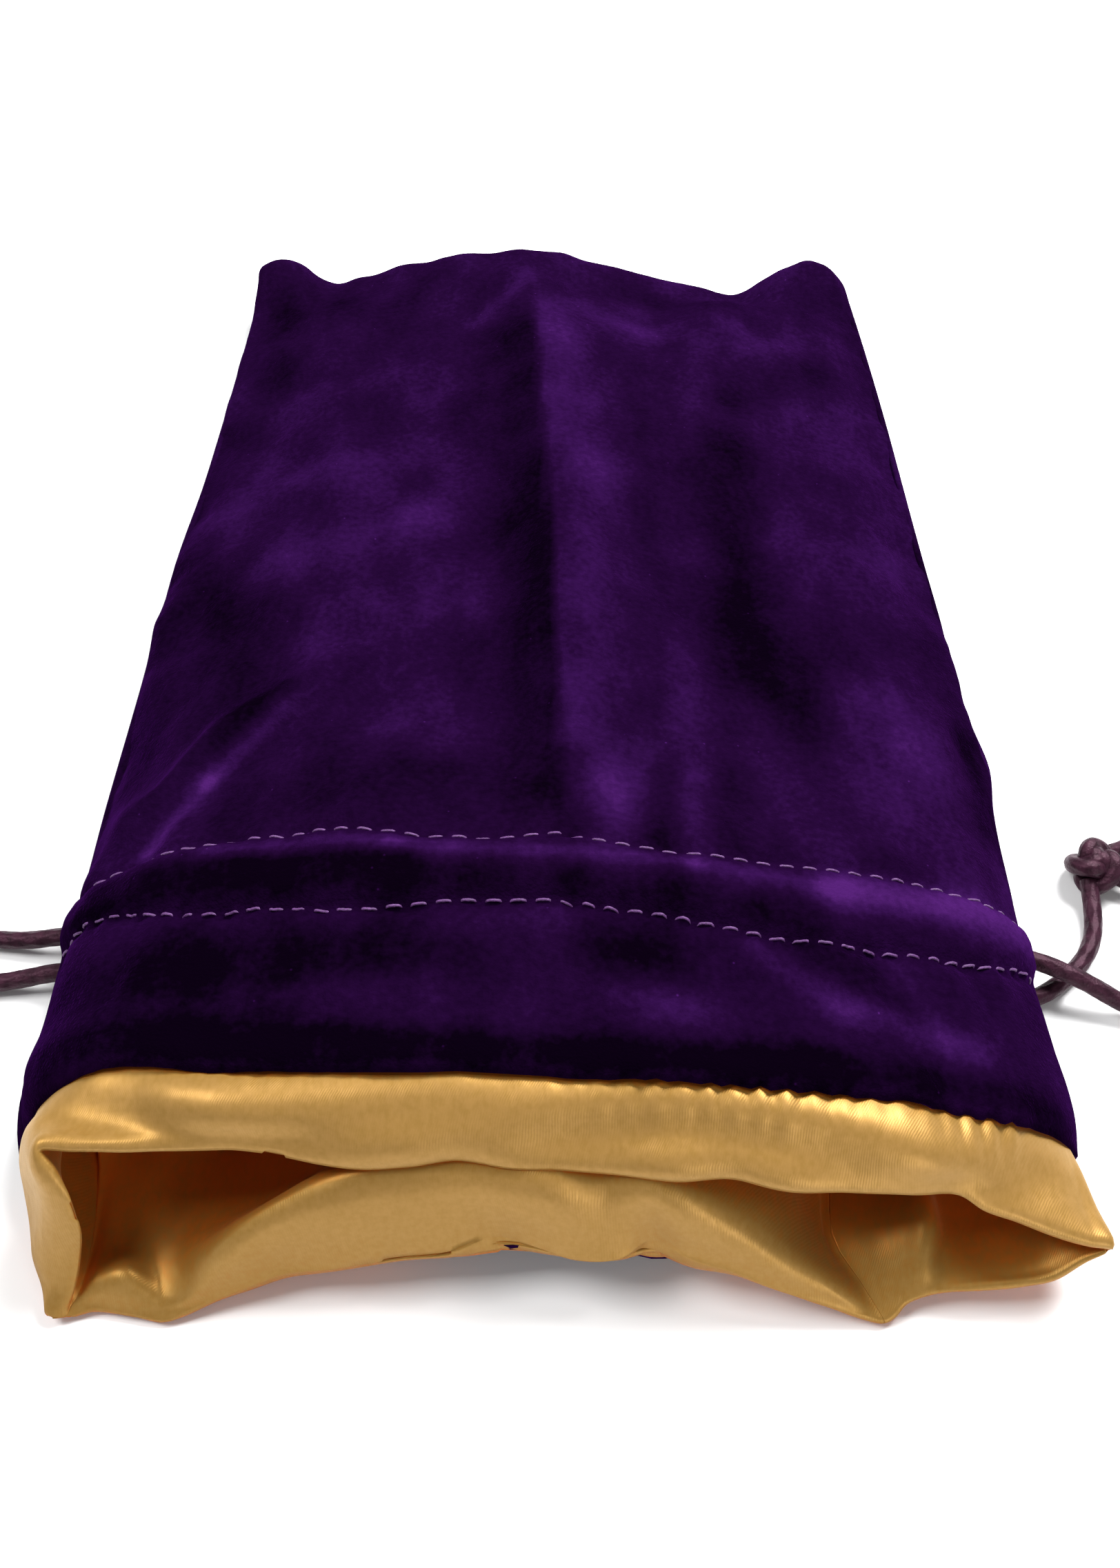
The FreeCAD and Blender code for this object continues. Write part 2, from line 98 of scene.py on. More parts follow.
def ring_spline(values, per_span, key):
    """A closed smooth curve through values, with per_span points on each span.

    Spans are timed by the distance between the points that key picks.
    """
    count = len(values)
    wrapped = np.concatenate([values[-2:], values, values[:3]])
    gaps = np.linalg.norm(np.diff(wrapped[:, key], axis=0), axis=1) ** SPAN_EVENING
    knots = np.concatenate([[0], np.cumsum(gaps)])
    steps = np.arange(per_span) / per_span
    at = (knots[2 : 2 + count, None] + gaps[2 : 2 + count, None] * steps).ravel()
    return spline(knots, wrapped, at)


def through(points, t):
    """The height of a line given as (place, height) points at t."""
    places, heights = zip(*points)
    return spline(places, heights, np.asarray(t, float))


def noise_at(points, size, seed=0.0):
    """Soft noise from about -0.5 to 0.5 with features of that size, at each point."""
    shift = Vector([seed * step for step in SEED_STEP])
    flat = points.reshape(-1, 3)
    found = [noise.noise(Vector(p) / size + shift) for p in flat]
    return np.array(found).reshape(points.shape[:-1])


def normals(grid):
    """The normal at each point of a grid of points."""
    across, along = np.gradient(grid, axis=1), np.gradient(grid, axis=0)
    n = np.cross(across, along)
    return n / np.maximum(np.linalg.norm(n, axis=-1, keepdims=True), 1e-9)


def unit(vectors):
    """The vectors at length 1."""
    return vectors / np.linalg.norm(vectors, axis=-1, keepdims=True)


def read_line(points, places, at):
    """A line of points, each at its place along the line, read at other places."""
    return np.stack([np.interp(at, places, points[:, k]) for k in range(3)], axis=-1)


def stand_for(piece, slot, *nodes, body=None):
    """Says what a piece replaces and which body it rides. Without one its place is baked into its points.
    """
    if body:
        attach(piece, body)
    else:
        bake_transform(piece)
    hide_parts(*nodes)


def new_mesh(name, points, faces, material):
    """A smooth mesh object from points in millimetres."""
    mesh = bpy.data.meshes.new(name)
    mesh.from_pydata((np.asarray(points, float) * MM).tolist(), [], faces)
    mesh.validate()
    mesh.polygons.foreach_set("use_smooth", [True] * len(mesh.polygons))
    mesh.materials.append(material)
    piece = bpy.data.objects.new(name, mesh)
    bpy.context.scene.collection.objects.link(piece)
    return piece


def grid_faces(rows, columns, wrap=False, start=0):
    """Quads between neighbouring points of a grid, whose columns may close on themselves."""
    faces = []
    for r in range(rows - 1):
        for c in range(columns if wrap else columns - 1):
            d = (c + 1) % columns
            a, b = start + r * columns, start + (r + 1) * columns
            faces.append((a + c, a + d, b + d, b + c))
    return faces


def sheet_mesh(name, grid, material, thickness, offset):
    """A sheet through a grid of points, thickened to the side that offset says."""
    rows, columns = grid.shape[:2]
    piece = new_mesh(name, grid.reshape(-1, 3), grid_faces(rows, columns), material)
    solid = piece.modifiers.new("thickness", "SOLIDIFY")
    solid.thickness, solid.offset = thickness * MM, offset
    return piece


# ---- materials ----


def new_material(name, colour, roughness, **sockets):
    """A Principled material. Its uniform values sit on the shader's own sockets."""
    material = bpy.data.materials.new(name)
    material.use_nodes = True
    shader = material.node_tree.nodes["Principled BSDF"]
    shader.inputs["Base Color"].default_value = (*colour, 1)
    shader.inputs["Roughness"].default_value = roughness
    for socket, value in sockets.items():
        shader.inputs[socket.replace("_", " ")].default_value = value
    return material, shader


def add_node(material, kind, **settings):
    """A node, with its settings."""
    node = material.node_tree.nodes.new(kind)
    for key, value in settings.items():
        setattr(node, key, value)
    return node


def link(material, source, target):
    """Leads one node's output into another's input."""
    material.node_tree.links.new(source, target)


def own_space(material):
    """Places in the piece's own space, in metres."""
    return add_node(material, "ShaderNodeTexCoord").outputs["Object"]


def noise_node(material, scale, detail=2.0, stretch=(1, 1, 1)):
    """Noise in the piece's own space, with scale per metre."""
    mapping = add_node(material, "ShaderNodeMapping")
    mapping.inputs["Scale"].default_value = stretch
    found = add_node(material, "ShaderNodeTexNoise")
    found.inputs["Scale"].default_value = scale
    found.inputs["Detail"].default_value = detail
    link(material, own_space(material), mapping.inputs["Vector"])
    link(material, mapping.outputs["Vector"], found.inputs["Vector"])
    return found.outputs["Fac"]


def colour_by(material, shader, factor, stops):
    """Colours the shader by a factor, through a list of (place, colour) stops."""
    node = add_node(material, "ShaderNodeValToRGB")
    band = node.color_ramp
    while len(band.elements) < len(stops):
        band.elements.new(0.5)
    for element, (place, colour) in zip(band.elements, stops):
        element.position = place
        element.color = (*colour, 1)
    link(material, factor, node.inputs["Fac"])
    link(material, node.outputs["Color"], shader.inputs["Base Color"])


def range_by(material, factor, low, high, new_low, new_high):
    """The factor stretched from one range to another."""
    node = add_node(material, "ShaderNodeMapRange")
    limits = {"From Min": low, "From Max": high, "To Min": new_low, "To Max": new_high}
    for socket, value in limits.items():
        node.inputs[socket].default_value = value
    link(material, factor, node.inputs["Value"])
    return node.outputs["Result"]


def bump_by(material, shader, heights):
    """Bumps from a list of (height, strength, distance in metres), one over the other."""
    last = None
    for height, strength, distance in heights:
        node = add_node(material, "ShaderNodeBump")
        node.inputs["Strength"].default_value = strength
        node.inputs["Distance"].default_value = distance
        link(material, height, node.inputs["Height"])
        if last:
            link(material, last, node.inputs["Normal"])
        last = node.outputs["Normal"]
    link(material, last, shader.inputs["Normal"])


def twill(material):
    """The fine diagonal ribs of a satin weave, a quarter of a millimetre apart and a little uneven."""
    turned = add_node(material, "ShaderNodeMapping")
    turned.inputs["Rotation"].default_value = (0.3, 0.2, math.radians(35))
    ribs = add_node(material, "ShaderNodeTexWave")
    ribs.inputs["Scale"].default_value = 1300
    ribs.inputs["Distortion"].default_value = 2.0
    ribs.inputs["Detail"].default_value = 2.0
    link(material, own_space(material), turned.inputs["Vector"])
    link(material, turned.outputs["Vector"], ribs.inputs["Vector"])
    return ribs.outputs["Fac"]


def sum_of(material, one, other):
    """The sum of two factors."""
    node = add_node(material, "ShaderNodeMath", operation="ADD")
    link(material, one, node.inputs[0])
    link(material, other, node.inputs[1])
    return node.outputs["Value"]


def lint(material):
    """Specks of pale lint, a few millimetres from one another."""
    cells = add_node(material, "ShaderNodeTexVoronoi")
    cells.inputs["Scale"].default_value = 240
    link(material, own_space(material), cells.inputs["Vector"])
    return range_by(material, cells.outputs["Distance"], 0.015, 0.05, 0.4, 0.0)


def velvet_material():
    """Short pile: dark face on, brighter at a glance, and brighter or darker where its nap lies over or
    where light and shade are painted on its folds.
    """
    material, shader = new_material(
        "velvet",
        (0.012, 0.002, 0.024),
        0.9,
        Sheen_Weight=0.5,
        Sheen_Roughness=0.3,
        Sheen_Tint=(0.06, 0.007, 0.125, 1),
        Specular_IOR_Level=0.0,
    )
    # The "pile" attribute carries the nap's lie and painted light and shade together.
    nap_shade_value = add_node(material, "ShaderNodeAttribute", attribute_name="pile")
    brushed = range_by(material, noise_node(material, 70, 6.0, (1.3, 0.7, 1.0)), 0.25, 0.75, -0.2, 0.2)
    grain = range_by(material, noise_node(material, 1000, 3.0), 0.3, 0.7, -0.07, 0.07)
    total = nap_shade_value.outputs["Fac"]
    for more in (brushed, grain, lint(material)):
        total = sum_of(material, total, more)
    stops = [
        (0.05, (0.0016, 0.0003, 0.0027)),
        (0.42, (0.0085, 0.0012, 0.0165)),
        (0.65, (0.018, 0.0028, 0.037)),
        (0.95, (0.04, 0.007, 0.078)),
    ]
    colour_by(material, shader, total, stops)
    tufts, pile = noise_node(material, 420, 3.0), noise_node(material, 2600)
    bump_by(material, shader, [(tufts, 0.35, 0.0006), (pile, 0.6, 0.0003)])
    return material


def satin_material():
    """Gold satin: soft streaked gloss across a fine weave, with painted shade and a painted red bounce
    light in its hollows.
    """
    material, shader = new_material(
        "satin",
        (0.46, 0.2, 0.035),
        0.42,
        Metallic=0.36,
        Sheen_Weight=0.08,
        Sheen_Roughness=0.5,
        Sheen_Tint=(1.0, 0.75, 0.4, 1),
        Specular_IOR_Level=0.45,
        Specular_Tint=(1.0, 0.78, 0.45, 1),
    )
    # Occlusion paints shade and a red bounce light into the hollows, through the colour stops below.
    hollow_shade_and_bounce = add_node(material, "ShaderNodeAmbientOcclusion", samples=6)
    hollow_shade_and_bounce.inputs["Distance"].default_value = 0.03
    weave = range_by(material, noise_node(material, 1400, 3.0, (1.0, 0.6, 1.0)), 0.3, 0.7, -0.15, 0.05)
    # Painted red bounce light in the deepest hollows, painted shade in the half-hidden ones, the satin's
    # own gold in the open.
    stops = [
        (0.15, (0.54, 0.115, 0.007)),
        (0.5, (0.27, 0.12, 0.015)),
        (0.75, (0.27, 0.148, 0.031)),
        (1.0, (0.335, 0.184, 0.05)),
    ]
    colour_by(material, shader, sum_of(material, hollow_shade_and_bounce.outputs["AO"], weave), stops)
    streaks = noise_node(material, 500, 3.0, (6.0, 1.0, 1.0))
    rough = range_by(material, streaks, 0.2, 0.8, 0.37, 0.48)
    link(material, rough, shader.inputs["Roughness"])
    cockle = noise_node(material, 180)
    bump_by(material, shader, [(cockle, 0.2, 0.0006), (twill(material), 0.15, 0.00005)])
    return material


def cord_material():
    """Plum rayon cord with a soft shine on its braid."""
    material, shader = new_material(
        "cord",
        (0.022, 0.006, 0.016),
        0.48,
        Sheen_Weight=0.06,
        Sheen_Roughness=0.4,
        Sheen_Tint=(0.6, 0.25, 0.5, 1),
        Specular_IOR_Level=0.32,
        Specular_Tint=(0.75, 0.42, 0.55, 1),
    )
    fibres = noise_node(material, 900, 3.0)
    colour_by(material, shader, fibres, [(0.3, (0.009, 0.002, 0.005)), (0.7, (0.034, 0.01, 0.02))])
    bump_by(material, shader, [(noise_node(material, 3200), 0.4, 0.0002)])
    return material


def thread_material(name, colour):
    """Sewing thread, twisted, with a slight shine."""
    material, shader = new_material(
        name, colour, 0.6, Sheen_Weight=0.1, Sheen_Tint=(*[min(1, c * 4) for c in colour], 1)
    )
    twist = noise_node(material, 3500)
    light, dark = [c * 1.3 for c in colour], [c * 0.65 for c in colour]
    colour_by(material, shader, twist, [(0.35, dark), (0.65, light)])
    bump_by(material, shader, [(twist, 0.5, 0.0001)])
    return material


def floor_material():
    """A pale floor, all but plain."""
    material, shader = new_material("floor", (0.93, 0.93, 0.93), 0.8)
    colour_by(material, shader, noise_node(material, 4.0), [(0.3, [0.92] * 3), (0.7, [0.94] * 3)])
    return material


# ---- camera, lights and floor ----


def make_camera():
    """Above the mouth, looking down towards the sewn bottom."""
    data = bpy.data.cameras.new("camera")
    data.lens, data.sensor_width = 35, 36
    camera = bpy.data.objects.new("camera", data)
    camera.location = (0.0015, -0.174, 0.177)
    camera.rotation_euler = (math.radians(40), 0, 0)
    bpy.context.scene.collection.objects.link(camera)
    bpy.context.scene.camera = camera


def area_light(name, place, target, size, power):
    """A rectangular lamp that faces its target."""
    data = bpy.data.lights.new(name, "AREA")
    data.shape, data.size, data.size_y = "RECTANGLE", size[0], size[1]
    data.energy = power
    lamp = bpy.data.objects.new(name, data)
    lamp.location = place
    lamp.rotation_euler = (Vector(target) - Vector(place)).to_track_quat("-Z", "Y").to_euler()
    bpy.context.scene.collection.objects.link(lamp)


def make_studio(material):
    """A pale world, four lamps and the floor."""
    world = bpy.data.worlds.new("world")
    world.use_nodes = True
    background = world.node_tree.nodes["Background"]
    background.inputs["Color"].default_value = (1, 1, 1, 1)
    background.inputs["Strength"].default_value = 0.25
    bpy.context.scene.world = world
    area_light("window", (0.3, 0.3, 0.66), (0, -0.04, 0), (0.4, 0.3), 12.5)
    area_light("sky", (-0.42, -0.05, 0.62), (0, -0.04, 0), (0.3, 0.3), 4.0)
    area_light("front", (0.05, -0.8, 0.45), (0, -0.1, 0), (1.0, 0.3), 0.55)
    area_light("strip", (0.28, -0.59, 0.12), (-0.055, -0.1, 0.012), (0.05, 0.3), 1.0)
    size = 3.0
    mesh = bpy.data.meshes.new("floor")
    corners = [(-size, -size, 0), (size, -size, 0), (size, size, 0), (-size, size, 0)]
    mesh.from_pydata(corners, [], [(0, 1, 2, 3)])
    mesh.materials.append(material)
    floor = bpy.data.objects.new("floor", mesh)
    floor.location.z = -0.0002
    bpy.context.scene.collection.objects.link(floor)


# ---- cords ----

# Control points in millimetres, from inside the channel to the knot.
ROUTES = {
    "cord_right_long_end": [
        (28, -58.55, 4.6), (38, -58.45, 4.65), (48, -58.6, 4.7), (57, -58.7, 4.8), (64.5, -60.3, 5.3),
        (71.2, -63.2, 4.4), (77.8, -66.2, 1.7), (85, -67.4, 1.35), (91.8, -64.4, 1.4),
        (94.3, -57.4, 1.35), (91.2, -50.7, 1.4), (85.2, -46.9, 1.6), (79.6, -44.3, 2.8),
    ],
    "cord_right_short_end": [
        (33, -64.1, 4.6), (40.5, -64.25, 4.6), (50, -64.1, 4.4), (58.2, -64.6, 3), (64.5, -65, 1.4),
        (70.2, -61.4, 1.35), (74.5, -56.8, 1.35), (76.4, -51.2, 1.4), (76.4, -45.6, 2.6),
    ],
    "cord_left_long_end": [
        (-28, -61.45, 4.6), (-38, -61.55, 4.6), (-48, -61.4, 4.65), (-58, -61.5, 4.6),
        (-66, -61.2, 3.3), (-73, -61.8, 1.6), (-80.5, -62.6, 1.35), (-87.2, -61.2, 1.6),
        (-92, -58.9, 2.8),
    ],
    "cord_left_short_end": [
        (-28, -55.9, 4.6), (-38, -55.8, 4.6), (-48, -55.95, 4.65), (-58, -55.85, 4.6),
        (-66, -55.4, 3.3), (-73, -55.3, 1.6), (-80.2, -54.2, 1.35), (-87, -55, 1.6), (-92, -57.2, 2.8),
    ],
}  # fmt: skip
CORD_STEP = 0.3  # between the rings of a cord
TIP = 0.55  # a tail's radius at its tip, as a share of the cord's
TUBE_SIDES = 36
BRAID_STRANDS, BRAID_DEPTH, BRAID_LAY = 6, 0.045, 7.5
SIDE_GUIDE = (0.0, 0.02, 1.0)  # nearly up, so that it is never in line with a cord
KNOT_RINGS, KNOT_LENGTH, KNOT_TURN = 360, 45, 0.9
KNOT_SPREAD = 0.75  # each strand's distance from their common middle
KNOT_STRAND = CORD / 2 * 1.02
KNOT_REACH = 0.62  # the knot's mean reach, as a share of its widest
KNOT_HEIGHT = 0.95  # how much of its box's height the knot takes up
TAILS = {
    "right": [
        [(79, -41.2, 2.4), (83.4, -38.6, 1.4), (88.4, -37, 1.3)],
        [(79.4, -42.8, 2.4), (84.6, -42.2, 1.4), (90, -42.6, 1.3)],
    ],
    "left": [
        [(-95, -56.6, 2.4), (-100, -55, 1.4), (-105, -54.4, 1.3)],
        [(-95, -59.4, 2.4), (-99.8, -60.6, 1.4), (-104, -62.2, 1.3)],
    ],
}


def spline_line(route):
    """Points along the smooth curve that a route's points control."""
    curve = bpy.data.curves.new("route", "CURVE")
    curve.dimensions = "3D"
    curve.resolution_u = 24
    line = curve.splines.new("NURBS")
    line.points.add(len(route) - 1)
    for point, place in zip(line.points, route):
        point.co = (*place, 1)
    line.order_u = 3
    line.use_endpoint_u = True
    carrier = bpy.data.objects.new("route", curve)
    mesh = bpy.data.meshes.new_from_object(carrier)
    points = np.array([v.co for v in mesh.vertices], float)
    bpy.data.meshes.remove(mesh)
    bpy.data.curves.remove(curve)
    return points


def even(line, step):
    """The line again, with points about step apart, and the distance of each along it."""
    along = np.concatenate([[0], np.cumsum(np.linalg.norm(np.diff(line, axis=0), axis=1))])
    at = np.linspace(0, along[-1], int(along[-1] / step) + 2)
    return read_line(line, along, at), at


def rings_round(line, reach, turn, side, up):
    """A ring of points round each point of a line."""
    across, above = np.cos(turn)[None, :, None], np.sin(turn)[None, :, None]
    return line[:, None] + reach[..., None] * (across * side[:, None] + above * up[:, None])


def tube_rings(line, along, radius, closed=False):
    """Rings of a braided tube along a line, in millimetres."""
    ahead = np.gradient(line, axis=0)
    if closed:
        ahead = np.roll(line, -1, axis=0) - np.roll(line, 1, axis=0)
    ahead = unit(ahead)
    side = unit(np.cross(ahead, SIDE_GUIDE))
    turn = np.arange(TUBE_SIDES) * 2 * math.pi / TUBE_SIDES
    phase = 4 * math.pi * along[:, None] / BRAID_LAY
    one, other = np.cos(BRAID_STRANDS * turn + phase), np.cos(BRAID_STRANDS * turn - phase)
    reach = radius * (1 - BRAID_DEPTH + BRAID_DEPTH * np.maximum(one, other))
    return rings_round(line, reach, turn, side, np.cross(side, ahead))


def tube_mesh(name, tubes, material):
    """One piece made of tubes, each a grid of rings, with closed ends unless it is a loop."""
    points, faces = [], []
    for rings, loop in tubes:
        count, sides = rings.shape[:2]
        start = sum(len(p) for p in points)
        points.append(rings.reshape(-1, 3))
        turned = [tuple(reversed(f)) for f in grid_faces(count, sides, True, start)]
        faces += turned
        last = start + (count - 1) * sides
        if loop:
            for c in range(sides):
                d = (c + 1) % sides
                faces.append((last + c, start + c, start + d, last + d))
        else:
            faces.append(tuple(range(start, start + sides)))
            faces.append(tuple(reversed(range(last, last + sides))))
    return new_mesh(name, np.concatenate(points), faces, material)


def cord_rings(route):
    """A route's line, the distance along it and the cord's rings."""
    line, along = even(spline_line(route), CORD_STEP)
    return line, along, tube_rings(line, along, CORD / 2)


def make_strand(name, material):
    """One free end of a cord, from inside the channel to its knot, and its line."""
    line, _, rings = cord_rings(ROUTES[name])
    return tube_mesh(name + "_braid", [(rings, False)], material), line


def make_tails(side, material):
    """The two short ends that stick out of a knot, narrower at the tip."""
    tubes = []
    for route in TAILS[side]:
        line, along, rings = cord_rings(route)
        shrink = TIP + (1 - TIP) * np.sqrt(np.clip(along[-1] - along, 0, 1))
        middle = line[:, None]
        tubes.append((middle + (rings - middle) * shrink[:, None, None], False))
    return tube_mesh(f"cord_{side}_tails_braid", tubes, material)


def make_knot(side, material):
    """Both strands in one overhand knot, drawn tight: two trefoils beside each other."""
    low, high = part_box(f"knot_{side}")
    centre, half = (low + high) / 2 / MM, (high - low) / 2 / MM
    turn = np.arange(KNOT_RINGS) * 2 * math.pi / KNOT_RINGS
    along = np.linspace(0, KNOT_LENGTH, KNOT_RINGS)
    lobes = KNOT_REACH + (1 - KNOT_REACH) * np.cos(3 * turn)
    z = (half.z - KNOT_STRAND) * np.sin(3 * turn) * KNOT_HEIGHT
    tubes = []
    for shift in (-KNOT_SPREAD, KNOT_SPREAD):
        reach = (half.x - KNOT_STRAND - KNOT_SPREAD) * lobes + shift
        x, y = reach * np.cos(2 * turn + KNOT_TURN), reach * np.sin(2 * turn + KNOT_TURN)
        line = np.stack([x, y, z], axis=1) + np.array(centre)
        tubes.append((tube_rings(line, along, KNOT_STRAND, closed=True), True))
    return tube_mesh(f"knot_{side}_tied", tubes, material)


def make_cords(material):
    """Each side's knot, tails and two free ends, and the look of its run in the channel."""
    for side in ("right", "left"):
        body = f"{side}_cord"
        knot, ends = make_knot(side, material), make_tails(side, material)
        for piece, node in ((knot, f"knot_{side}"), (ends, f"cord_{side}_tails")):
            stand_for(piece, "cord", node, body=body)
        for which in ("long", "short"):
            name = f"cord_{side}_{which}_end"
            strand, line = make_strand(name, material)
            stand_for(strand, "cord", name, body=body)
        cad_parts[f"cord_{side}_in_channel"].data.materials[0] = material


# ---- the velvet shell ----

# The bag's outline and heights, as (place along the bag, place across or height).
LEFT_EDGE = [
    (-110, -61.5), (-92, -62.9), (-88, -64.2), (-84, -64.9), (-76, -64.5), (-62.7, -64.4),
    (-51.5, -63.8), (-36.9, -63.6), (-20, -63.1), (-9.5, -62.8), (2.8, -62.5), (15.9, -62.2),
    (37.3, -60.6), (52.9, -59.9), (78.7, -59.0), (97.7, -58.4), (106, -57.6),
]  # fmt: skip
RIGHT_EDGE = [
    (-110, 63.4), (-92, 63.4), (-86, 64.3), (-76, 63.9), (-62.7, 63.2), (-51.5, 63.2), (-36.9, 63.5),
    (-29, 64.4), (-20, 63.3), (-9.5, 62.5), (2.8, 62.3), (15.9, 61.8), (37.3, 61.2),
    (52.9, 60.8), (78.7, 59.8), (97.7, 58.9), (106, 58.4),
]  # fmt: skip
CROWN = [
    (-100, 28.2), (-90, 28), (-68, 28.3), (-62, 28.7), (-56, 28.7), (-51, 27.4), (-44, 25.5),
    (0, 20.5), (40, 18), (85, 15), (104, 9.5), (110, 9),
]  # fmt: skip
# How boxy the front is beside its crown, as (place along the bag, power across, power up).
ACROSS, UP = 1, 2  # columns of the two tables
LEFT_SHAPE = [
    (-100, 4.6, 1.9), (-75, 4.0, 1.75), (-60, 3.3, 1.6), (-20, 2.7, 1.4), (40, 2.2, 1.2),
    (110, 2.2, 1.2),
]  # fmt: skip
RIGHT_SHAPE = [(-100, 2.4, 1.7), (-60, 2.3, 1.5), (-20, 2.2, 1.3), (40, 2.0, 1.15), (110, 2.0, 1.1)]
SEAM_HEIGHT = [(-110, 8.6), (-60, 7.6), (0, 7.0), (80, 6.4), (110, 6.0)]
# The top of the far end, from one ear over two hollows and a hump to the other ear.
FAR_TOP = [
    (-64, 4), (-61, 7), (-58, 10.4), (-55, 12.4), (-51, 12.2), (-47, 9.6), (-44, 8.2), (-39, 9.0),
    (-32, 10.8), (-26, 12.0), (-20, 12.8), (-14, 13.5), (-8, 13.8), (-1.5, 13.0), (6.7, 11.6),
    (15, 10.2), (23.5, 8.6), (31, 6.8), (36, 5.4), (40, 6.2), (44.5, 8.8), (48, 10.9), (52, 12.6),
    (56, 11.6), (59, 8.2), (64, 4),
]  # fmt: skip
# How far the sewn bottom is drawn in from the far end, across the bag.
FAR_PULL = [
    (-64, 4.5), (-61, 2.2), (-57, 0.6), (-52, 0.4), (-45, 2.2), (-38, 1.2), (-28, 0.4), (-14, 0),
    (0, 0.2), (14, 1.0), (24, 2.0), (33, 3.6), (38, 3.8), (43, 2.0), (48, 0.7), (53, 0.2), (57, 1.4),
    (60, 3.2), (64, 6),
]  # fmt: skip
# The channel's rows of stitches on the front, as (across, along).
UPPER_STITCHES = [
    (-70, -57.4), (-57, -56.4), (-48.7, -56.2), (-36, -56.0), (-22, -57.0), (-13, -57.8), (-6, -57.6),
    (1, -57.3), (8, -58.9), (20, -59.9), (37, -60.2), (54, -59.5), (62, -58.9), (70, -58.4),
]  # fmt: skip
LOWER_STITCHES = [
    (-70, -61.4), (-56, -63.8), (-42, -67.0), (-32, -67.3), (-22, -68.5), (-12, -67.5), (-1.2, -67.1),
    (8, -68.2), (20, -70.2), (29, -71.4), (41, -71.6), (49, -71.0), (57, -69.0), (62, -67), (70, -66),
]  # fmt: skip
# Where the velvet ends at the mouth, as (across, along).
FRONT_SEAM = [
    (-64.5, -88.4), (-62.4, -88.0), (-57.6, -87.8), (-53.1, -87.5), (-49.4, -87.5), (-44.7, -88.1),
    (-38.7, -89.2), (-27.7, -89.7), (-19.5, -90.2), (-8, -90.1), (0.4, -90.4), (8.2, -90.8),
    (16, -91.1), (26, -91.5), (36, -91.6), (45.5, -91.8), (52, -91.9), (57.5, -91.2), (61.2, -90.8),
    (64.5, -90.6),
]  # fmt: skip
BACK_SEAM = [
    (-64, -90.5), (-57, -94), (-40, -96), (-20, -98.6), (-9, -100.8), (-4.5, -102.2), (0, -101.6),
    (6, -101.4), (12, -102.4), (17, -101.0), (22, -99.2), (40, -96), (57, -94), (64, -90.5),
]  # fmt: skip
EXITS = {"left": -58.7, "right": -61.3}  # where along each side the cords come out
SLIT = 6.5  # half the length of the opening in a side seam
HOLLOWS_START = 74  # where the sewn bottom begins to be drawn in
EARS_START = 84  # where the front begins to take the sewn bottom's ears
HEM = 0.9
ROUND_END = 7.0  # the shell rounds over this far from the sewn bottom


def far_end_in(x, y):
    """How far the sewn bottom's hollows and corners draw each point towards the mouth."""
    return through(FAR_PULL, x) * ramp((y - HOLLOWS_START) / (FAR_END - HOLLOWS_START))


def seam_at(x, y):
    """The height of the seam round the bag, lower in the sewn bottom's hollows."""
    plain = through(SEAM_HEIGHT, y)
    low = np.minimum(plain, 0.5 * through(FAR_TOP, x))
    return plain + (low - plain) * ramp((y - EARS_START) / 18)


def edges_at(y):
    """Where the bag's left and right edges are."""
    return through(LEFT_EDGE, y), through(RIGHT_EDGE, y)


def stitch_lines(x):
    """Where along the bag the channel's two rows of stitches are."""
    return through(UPPER_STITCHES, x), through(LOWER_STITCHES, x)


def slit(y, side):
    """1 where the side seam is left open for the cords, 0 away from it."""
    return np.exp(-(((y - EXITS[side]) / SLIT) ** 6))


def power_at(shape, which, y):
    """One of the powers of a shape's table at each place along the bag."""
    return through([(row[0], row[which]) for row in shape], y)


def turn_at(share, y):
    """The turn at which the front's outside is that share of the way across, from -1 to 1."""
    shape = LEFT_SHAPE if share < 0 else RIGHT_SHAPE
    power = power_at(shape, ACROSS, y)
    return np.arccos(-math.copysign(1, share) * abs(share) ** (power / 2))


def front_base(turn, y):
    """The front's outside without its folds. turn goes from 0 at the left seam to pi."""
    left, right = edges_at(y)
    middle, half = (left + right) / 2, (right - left) / 2
    cos, sin = np.cos(turn), np.clip(np.sin(turn), 0, 1)
    across, up = [
        np.where(cos > 0, power_at(LEFT_SHAPE, k, y), power_at(RIGHT_SHAPE, k, y)) for k in (ACROSS, UP)
    ]
    x = middle - half * np.sign(cos) * np.abs(cos) ** (2 / across)
    seam = through(SEAM_HEIGHT, y)
    z = seam + (through(CROWN, y) - seam) * sin ** (2 / up)
    end = seam + (through(FAR_TOP, x) - seam) * ramp(sin / 0.15)  # the edge keeps to the seam
    ears = ramp((y - EARS_START) / 17)
    hump = ramp((y - 55) / 45)  # the middle sinks to the sewn bottom over a longer way
    weight = ears + (hump - ears) * ramp((34 - np.abs(x + 3)) / 14)
    return x, z + (end - z) * weight
